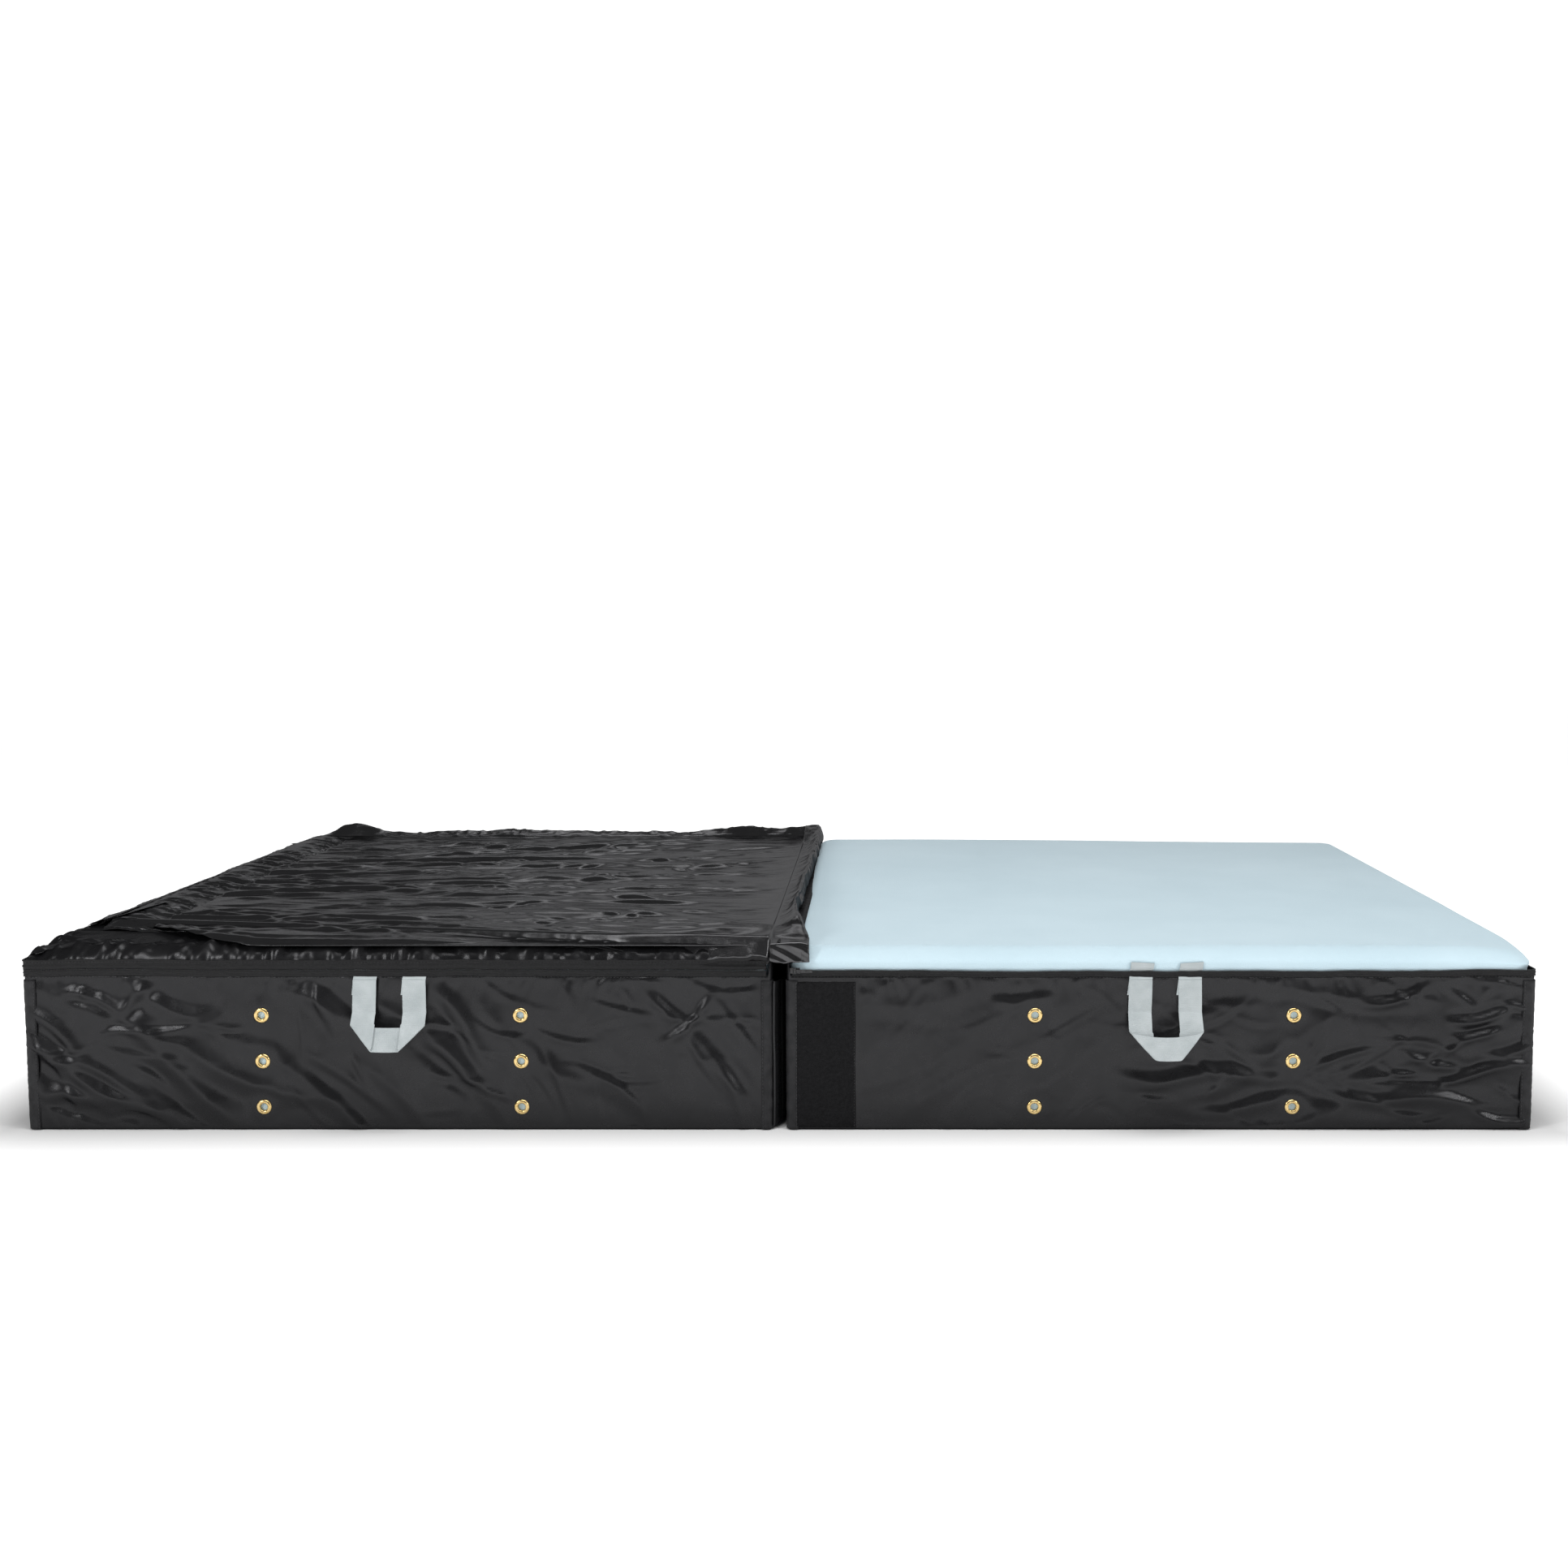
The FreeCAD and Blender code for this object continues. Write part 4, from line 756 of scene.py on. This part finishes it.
relief(webbing_finish, main, (rows_across.outputs["Fac"], 0.0006, 0.35), (yarn.outputs["Fac"], 0.0004, 0.3))


def placed(name, x, y, z, foot, turn, thick):
    """A strip of webbing set at its place on the cover, turned to face outwards."""
    c, q = math.cos(turn), math.sin(turn)
    piece = cloth(name, foot[0] + x * c - y * q, foot[1] + x * q + y * c, foot[2] + z, thick=thick)
    piece.modifiers["thickness"].offset = 0.0
    edge = piece.modifiers.new("woven_edge", "BEVEL")
    edge.width, edge.segments, edge.limit_method = 0.5 * MM, 2, "ANGLE"
    piece.data.materials.append(webbing_finish)
    return piece


def combined(pieces, name):
    """Several pieces made into one, under its own name."""
    with bpy.context.temp_override(active_object=pieces[0], selected_editable_objects=pieces):
        bpy.ops.object.join()
    pieces[0].name = name
    return pieces[0]


def half_loop(straight, forward, sway):
    """One leg and half the bottom: the leg folds over on a slanting line and then runs level."""
    w = np.linspace(-WEBBING_HALF, WEBBING_HALF, 17)[None, :]
    s = np.linspace(-1.0, straight + WEBBING_HALF + LOOP_HALF, 70)[:, None]
    past = ((s - straight) - (w + WEBBING_HALF)) / math.sqrt(2)
    x, z = -LOOP_HALF + w - 1.5 * s / straight * (s < straight), -s + 0 * w
    bend = FOLD_RADIUS * math.pi
    back = np.where(past < bend, FOLD_RADIUS * np.sin(np.clip(past, 0, bend) / FOLD_RADIUS), bend - past)
    over = np.where(past < bend, FOLD_RADIUS * (1 - np.cos(np.clip(past, 0, bend) / FOLD_RADIUS)), 2 * FOLD_RADIUS)
    moved = np.clip(past, 0, None) - np.where(past > 0, back, 0)
    x = np.where(past > 0, -LOOP_HALF + w + moved / math.sqrt(2) - 1.5, x)
    z = np.where(past > 0, -s + moved / math.sqrt(2), z)
    y = -LOOP_STAND_OFF - 1.0 - 0.8 * np.sin(s / 17.0 + sway)
    y = y - over * (past > 0) if forward else y - 2 * FOLD_RADIUS * ease(s, 10, 60) + over * (past > 0)
    low = np.clip(-52 - z, 0, None)
    x = np.where(past > 0, np.minimum(x, 0), x)
    x[-1] = 0.0
    z = np.where(z < -52, -52 - 0.84 * low, z) - (9.5 if forward else 6.0) * ease(-z, 56, 96) * (1 - (x / 60) ** 2)
    return x, y - 0.54 * low, z


for side in ("left", "right"):
    sign = OUTWARD[side]
    feet = {"front": ((SEWN_CENTRE[side], -HALF_LENGTH, LOOP_SEAM), 0.0),
            "back": ((SEWN_CENTRE[side], HALF_LENGTH, LOOP_SEAM), math.pi),
            "end": ((HALF_CENTRE[side] + sign * HALF_LENGTH, 0.0, LOOP_SEAM), sign * math.pi / 2)}
    tails = []
    for face, (foot, turn) in feet.items():
        forward = side == "right" or face == "end"
        shown = 3.4 if side == "right" else 0.0
        x, y, z = half_loop(81.0 if forward else 71.0, forward, 0.4 + 0.7 * len(tails))
        halves = [placed(f"{side}_{face}_webbing", x, y, z, foot, turn, WEBBING_THICK),
                  placed(f"{side}_{face}_half", -x, y, z, foot, turn, WEBBING_THICK)]
        handle = combined(halves, f"{side}_{face}_webbing")
        welded = bmesh.new()
        welded.from_mesh(handle.data)
        bmesh.ops.remove_doubles(welded, verts=welded.verts, dist=0.00002)
        bmesh.ops.recalc_face_normals(welded, faces=welded.faces)
        welded.to_mesh(handle.data)
        welded.free()
        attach(handle, f"{side}_{face}_handle")
        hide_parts(f"{side}_{face}_handle")
        for leg in (-LOOP_HALF, LOOP_HALF):
            w = np.linspace(-WEBBING_HALF, WEBBING_HALF, 9)[None, :]
            rise = np.linspace(-24, 29 if side == "right" else 20, 30)[:, None]
            depth = -3.0 + 4.8 * ease(rise, 3, 9) - shown * ease(rise, 15, 21) + 0.3 * w / 19
            height = rise + 0.06 * w * leg / 40 * (rise > 20)
            tail = placed(f"{side}_{face}_tail_{len(tails)}", leg + w + 0.12 * rise, depth, height, foot, turn, 1.4)
            tails.append(tail)
    group = combined(tails, f"{side}_webbing_tails")
    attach(group, f"{side}_half")
    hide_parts(f"{side}_handle_tails")

# ---- Brass eyelets and zip sliders: the eyelets let air out of the covers, as two rolled rings a hole that are
# pressed together through the cloth. The sliders and their pulls are blackened zinc.
brass_finish, main = shader("pressed_brass", (0.74, 0.55, 0.24), 0.2, Metallic=1.0)
tarnish = texture(brass_finish, "ShaderNodeTexNoise", Scale=160.0, Detail=5.0)
tint(brass_finish, tarnish.outputs["Fac"], (0.60, 0.42, 0.16), (0.80, 0.61, 0.30), main.inputs["Base Color"])
spread(brass_finish, tarnish.outputs["Fac"], 0.18, 0.36, main.inputs["Roughness"])
relief(brass_finish, main, (tarnish.outputs["Fac"], 0.0002, 0.2))
steel_finish, main = shader("blackened_zinc", (0.03, 0.03, 0.032), 0.34, Metallic=0.8)
chips = texture(steel_finish, "ShaderNodeTexNoise", Scale=300.0, Detail=5.0)
tint(steel_finish, chips.outputs["Fac"], (0.02, 0.02, 0.021), (0.06, 0.06, 0.062), main.inputs["Base Color"])
relief(steel_finish, main, (chips.outputs["Fac"], 0.0002, 0.25))


def keep_solid(node, material, rounding):
    """A metal piece keeps its own solid, with its edges eased."""
    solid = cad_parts[node]
    solid.data.materials.clear()
    solid.data.materials.append(material)
    edge = solid.modifiers.new("eased_edges", "BEVEL")
    edge.width, edge.segments, edge.limit_method = rounding * MM, 3, "ANGLE"
    solid.data.shade_smooth()


def rolled_eyelets(side, facing):
    """The rolled outer rings of a wall's six eyelets with their barrels, turned from one outline."""
    outline = [(5.9, -3.4), (5.9, -0.4), (6.2, 0.9), (7.0, 1.7), (8.2, 2.1), (9.6, 2.1), (10.9, 1.6), (11.9, 0.8),
               (12.5, -0.1), (12.6, -0.5)]
    turns = np.radians(np.linspace(0, 360, 41))[:-1]
    r, out = (np.array([p[k] for p in outline])[:, None] for k in (0, 1))
    rings = []
    for column in (-EYELET_PITCH / 2, EYELET_PITCH / 2):
        for row in EYELET_ROWS:
            x = SEWN_CENTRE[side] + column + r * np.cos(turns)
            y = facing * (HALF_LENGTH + 0.1 + out) + 0 * x
            ring = cloth(f"{side}_eyelet_ring", x, y, row + r * np.sin(turns), ring=True, flip=facing < 0, thick=0.35)
            rings.append(ring)
    return combined(rings, f"{side}_{'front' if facing < 0 else 'back'}_brass_rings")


for side in ("left", "right"):
    for face in ("front", "back"):
        rings = rolled_eyelets(side, -1 if face == "front" else 1)
        fitted(rings, brass_finish, f"{side}_half", "eyelet_brass", f"{side}_{face}_eyelets")
        keep_solid(f"{side}_{face}_zip_slider", steel_finish, 0.4)
        keep_solid(f"{side}_{face}_zip_pull", steel_finish, 0.3)
    keep_solid(f"{side}_eyelet_washers", brass_finish, 0.1)

# ---- Corner bindings: grosgrain ribbon that covers the seam at each corner of the walls.
# It is folded round the corner and sewn with a row of stitches a side.
ribbon_finish, main = shader("grosgrain_ribbon", (0.009, 0.009, 0.0097), 0.6, Specular_IOR_Level=0.25)
ribs = texture(ribbon_finish, "ShaderNodeTexWave", Scale=330.0, Distortion=0.4)
ribs.bands_direction = "Z"
lint = texture(ribbon_finish, "ShaderNodeTexNoise", Scale=70.0, Detail=4.0)
tint(ribbon_finish, lint.outputs["Fac"], (0.011, 0.011, 0.012), (0.024, 0.024, 0.026), main.inputs["Base Color"])
relief(ribbon_finish, main, (ribs.outputs["Fac"], 0.0005, 0.5), (lint.outputs["Fac"], 0.002, 0.3))
for side in ("left", "right"):
    x, y, nx, ny, s = perimeter(side, step=2.0)
    strips, seams = [], []
    for k, corner in enumerate(np.linspace(0, s[-1] + 2, 5)[1:]):
        at = np.linspace(corner - 25.5, corner + 7.0, 15) % s[-1]
        px, py, qx, qy = (np.interp(at, s, vv) for vv in (x, y, nx, ny))
        level = np.linspace(2.0, 249.0, 56)[:, None]
        edge = np.abs(np.linspace(-1, 1, 15))[None, :]
        puff = 1.5 - 0.9 * edge ** 6 + 0.55 * pinched(201 + k, at[None, :], level, 9, 8)
        strips.append((px + qx * puff, py + qy * puff, level + 0 * puff))
        for column in (1, 13):
            tall = np.arange(5, 247, 6.0)
            spot = np.stack([np.full_like(tall, px[column] + qx[column] * 2.2),
                             np.full_like(tall, py[column] + qy[column] * 2.2), tall], -1)
            outward = np.tile((qx[column], qy[column], 0.0), (len(tall), 1))
            outward /= np.linalg.norm(outward, axis=1)[:, None]
            seams.append((spot, np.tile((0, 0, 1.0), (len(tall), 1)), outward))
    pieces = [cloth(f"{side}_binding_{k}", *strip, flip=side == "left", thick=0.5) for k, strip in enumerate(strips)]
    binding = combined(pieces, f"{side}_corner_ribbon")
    fitted(binding, ribbon_finish, f"{side}_half", "binding", f"{side}_corner_bindings")
    stitches = bricks(f"{side}_ribbon_stitches", *(np.concatenate(v) for v in zip(*seams)), (1.9, 0.4, 0.4))
    fitted(stitches, thread_finish, f"{side}_half", "binding")

# ---- Hook-and-loop link: a fuzzy loop strip sewn on the right half's walls by the gap, and the left half's
# flaps with the hook side, folded in between the halves where they stay while the link isn't in use.
pile_finish, main = shader("brushed_loop_pile", (0.004, 0.004, 0.0043), 0.95, Specular_IOR_Level=0.08)
loops = texture(pile_finish, "ShaderNodeTexVoronoi", Scale=780.0)
nap = texture(pile_finish, "ShaderNodeTexNoise", Scale=240.0, Detail=6.0, Roughness=0.7)
tint(pile_finish, nap.outputs["Fac"], (0.007, 0.007, 0.0075), (0.015, 0.015, 0.016), main.inputs["Base Color"])
relief(pile_finish, main, (loops.outputs["Distance"], 0.0012, 0.7), (nap.outputs["Fac"], 0.001, 0.4))


def pile_strip(name, low, high, fixed, facing, axis):
    """A strip of pile between two corners of an upright plane, with a thinner sewn margin all round."""
    a = np.linspace(low[0], high[0], 44)[None, :]
    z = np.linspace(low[1], high[1], 100)[:, None]
    rim = np.minimum(np.minimum(a - low[0], high[0] - a), np.minimum(z - low[1], high[1] - z))
    out = 0.5 + 1.2 * ease(rim, 2.0, 5.0) + 0.25 * rumple(211, a, z, 5, 5) + 0.5 * rumple(212, a, z, 60, 40)
    out = np.where(rim < 0.01, -0.4, out)
    plane, other = fixed + facing * out, a + 0 * out
    x, y = (other, plane) if axis == "x" else (plane, other)
    return cloth(name, x, y, z + 0 * out, flip=(facing > 0) == (axis == "x"), thick=0.4)


def stitched_edges(name, low, high, fixed, facing):
    """Two upright rows of stitches along a strip's sides."""
    tall = np.arange(low[1] + 4, high[1] - 3, 5.0)
    spots = np.concatenate([np.stack([np.full_like(tall, a), np.full_like(tall, fixed + facing * 1.1), tall], -1)
                            for a in (low[0] + 2.6, high[0] - 2.6)])
    return bricks(name, spots, np.tile((0, 0, 1.0), (len(spots), 1)),
                  np.tile((0, float(facing), 0), (len(spots), 1)), (1.7, 0.4, 0.35))


for face, facing in (("front", -1), ("back", 1)):
    low, high = (24.3, 4.2), (124.3, 247.0)
    strip = pile_strip(f"right_{face}_loop_pile", low, high, facing * HALF_LENGTH, facing, "x")
    fitted(strip, pile_finish, "right_half", "hook_and_loop", f"right_{face}_loop_strip")
    sewn = stitched_edges(f"right_{face}_loop_stitches", low, high, facing * HALF_LENGTH, facing)
    fitted(sewn, thread_finish, "right_half", "hook_and_loop")


def bulged(k, a, z, rest):
    """How far a folded-in flap stands over the gap, from its sewn edge to its free one."""
    across = np.sin(np.clip((np.abs(a) - 486) / 122.0, 0, 1) * math.pi) ** 0.6
    return rest + 0.8 * rumple(221 + k, a, z, 40, 55) + 15.5 * across * ease(z, 0, 12)


flaps, hooks = [], []
for k, facing in enumerate((-1, 1)):
    a, z = np.sort(facing * np.linspace(485.5, 608.5, 40))[None, :], np.linspace(4.2, 247.0, 70)[:, None]
    sag = bulged(k, a, z, -9.9)
    flaps.append(cloth(f"left_flap_{k}", sag, a + 0 * sag, z + 0 * sag, thick=0.7))
    a, z = np.sort(facing * np.linspace(489.0, 585.5, 34))[None, :], np.linspace(5.0, 246.0, 70)[:, None]
    pile = bulged(k, a, z, -8.4) + 0.25 * rumple(213, a, z, 5, 5)
    hooks.append(cloth(f"left_hook_{k}", pile, a + 0 * pile, z + 0 * pile, thick=0.8))
for parts, name, node, slot, finish in ((flaps, "left_link_flap_cloth", "left_link_flaps", "cover_vinyl", nylon),
                                        (hooks, "left_hook_pile", "left_hook_strips", "hook_and_loop", pile_finish)):
    link_cloth = combined(parts, name)
    fitted(link_cloth, finish, "left_half", slot, node)

# ---- Studio: a white floor that runs back into a lit white screen, broad soft lights, and the camera.
# The floor glows more with distance from the mat: its glow is painted down near the mat, a painted contact shadow in
# a narrow band under it.
def staged_plane(name, corners, colour, glow):
    mesh = bpy.data.meshes.new(name)
    mesh.from_pydata(corners, [], [(0, 1, 2, 3)])
    plane = bpy.data.objects.new(name, mesh)
    bpy.context.collection.objects.link(plane)
    finish, main = shader(name, colour, 0.8, Specular_IOR_Level=0.0)
    main.inputs["Emission Color"].default_value = (1, 1, 1, 1)
    main.inputs["Emission Strength"].default_value = glow
    mesh.materials.append(finish)


staged_plane("white_floor", [(-40, -12, 0), (40, -12, 0), (40, 30, 0), (-40, 30, 0)], (0.82, 0.82, 0.82), 0.42)
floor_finish = bpy.data.materials["white_floor"]
# Painted contact shadow: the floor's glow runs from none at the mat's outline up to full 0.22 m away.
place, painted_contact_shadow = (floor_finish.node_tree.nodes.new(kind) for kind in ("ShaderNodeTexCoord", "ShaderNodeMapRange"))
spot = place.outputs["Object"]
for operation, by in (("ABSOLUTE", None), ("SUBTRACT", (1.27, 0.62, 0.0)), ("MAXIMUM", (0.0, 0.0, 0.0)),
                      ("LENGTH", None)):
    step = floor_finish.node_tree.nodes.new("ShaderNodeVectorMath")
    step.operation = operation
    link(floor_finish, spot, step.inputs[0])
    if by:
        step.inputs[1].default_value = by
    spot = step.outputs["Value" if operation == "LENGTH" else "Vector"]
link(floor_finish, spot, painted_contact_shadow.inputs["Value"])
painted_contact_shadow.inputs["From Min"].default_value, painted_contact_shadow.inputs["From Max"].default_value = 0.0, 0.22
painted_contact_shadow.inputs["To Min"].default_value, painted_contact_shadow.inputs["To Max"].default_value = 0.0, 0.82
floor_glow = floor_finish.node_tree.nodes["Principled BSDF"].inputs["Emission Strength"]
link(floor_finish, painted_contact_shadow.outputs["Result"], floor_glow)
staged_plane("white_screen", [(-40, 30, -0.1), (40, 30, -0.1), (40, 30, 13.4), (-40, 30, 13.4)], (0.5, 0.5, 0.5), 1.0)
world = bpy.data.worlds.new("studio_room")
bpy.context.scene.world = world
world.use_nodes = True
world.node_tree.nodes["Background"].inputs["Color"].default_value = (1, 1, 1, 1)
world.node_tree.nodes["Background"].inputs["Strength"].default_value = 0.14


def soft_light(name, place, target, size, power):
    light = bpy.data.lights.new(name, "AREA")
    light.shape, light.size, light.size_y, light.energy = "RECTANGLE", size[0], size[1], power
    lamp = bpy.data.objects.new(name, light)
    lamp.location = place
    lamp.rotation_euler = (Vector(target) - Vector(place)).to_track_quat("-Z", "Y").to_euler()
    bpy.context.collection.objects.link(lamp)


soft_light("overhead", (0.4, -1.3, 2.9), (0.2, -0.2, 0.2), (3.0, 1.4), 62)
soft_light("behind", (-0.4, 3.4, 3.4), (-0.4, 0, 0.3), (3.0, 0.8), 22)
soft_light("left_window", (-2.7, -3.0, 1.7), (-0.7, -0.4, 0.15), (0.5, 1.2), 44)
soft_light("right_window", (3.2, -2.5, 1.7), (0.9, -0.4, 0.15), (0.5, 1.1), 34)
camera = bpy.data.cameras.new("camera")
camera.lens, camera.sensor_width = 37.73, 36.0
camera.shift_x, camera.shift_y = -0.0652, -0.0217
eye = bpy.data.objects.new("camera", camera)
eye.location = (0.174, -3.2423, 0.844)
eye.rotation_euler = (math.radians(90 - 4.75), 0, 0)
bpy.context.collection.objects.link(eye)
bpy.context.scene.camera = eye
bpy.context.scene.view_settings.view_transform = "Standard"
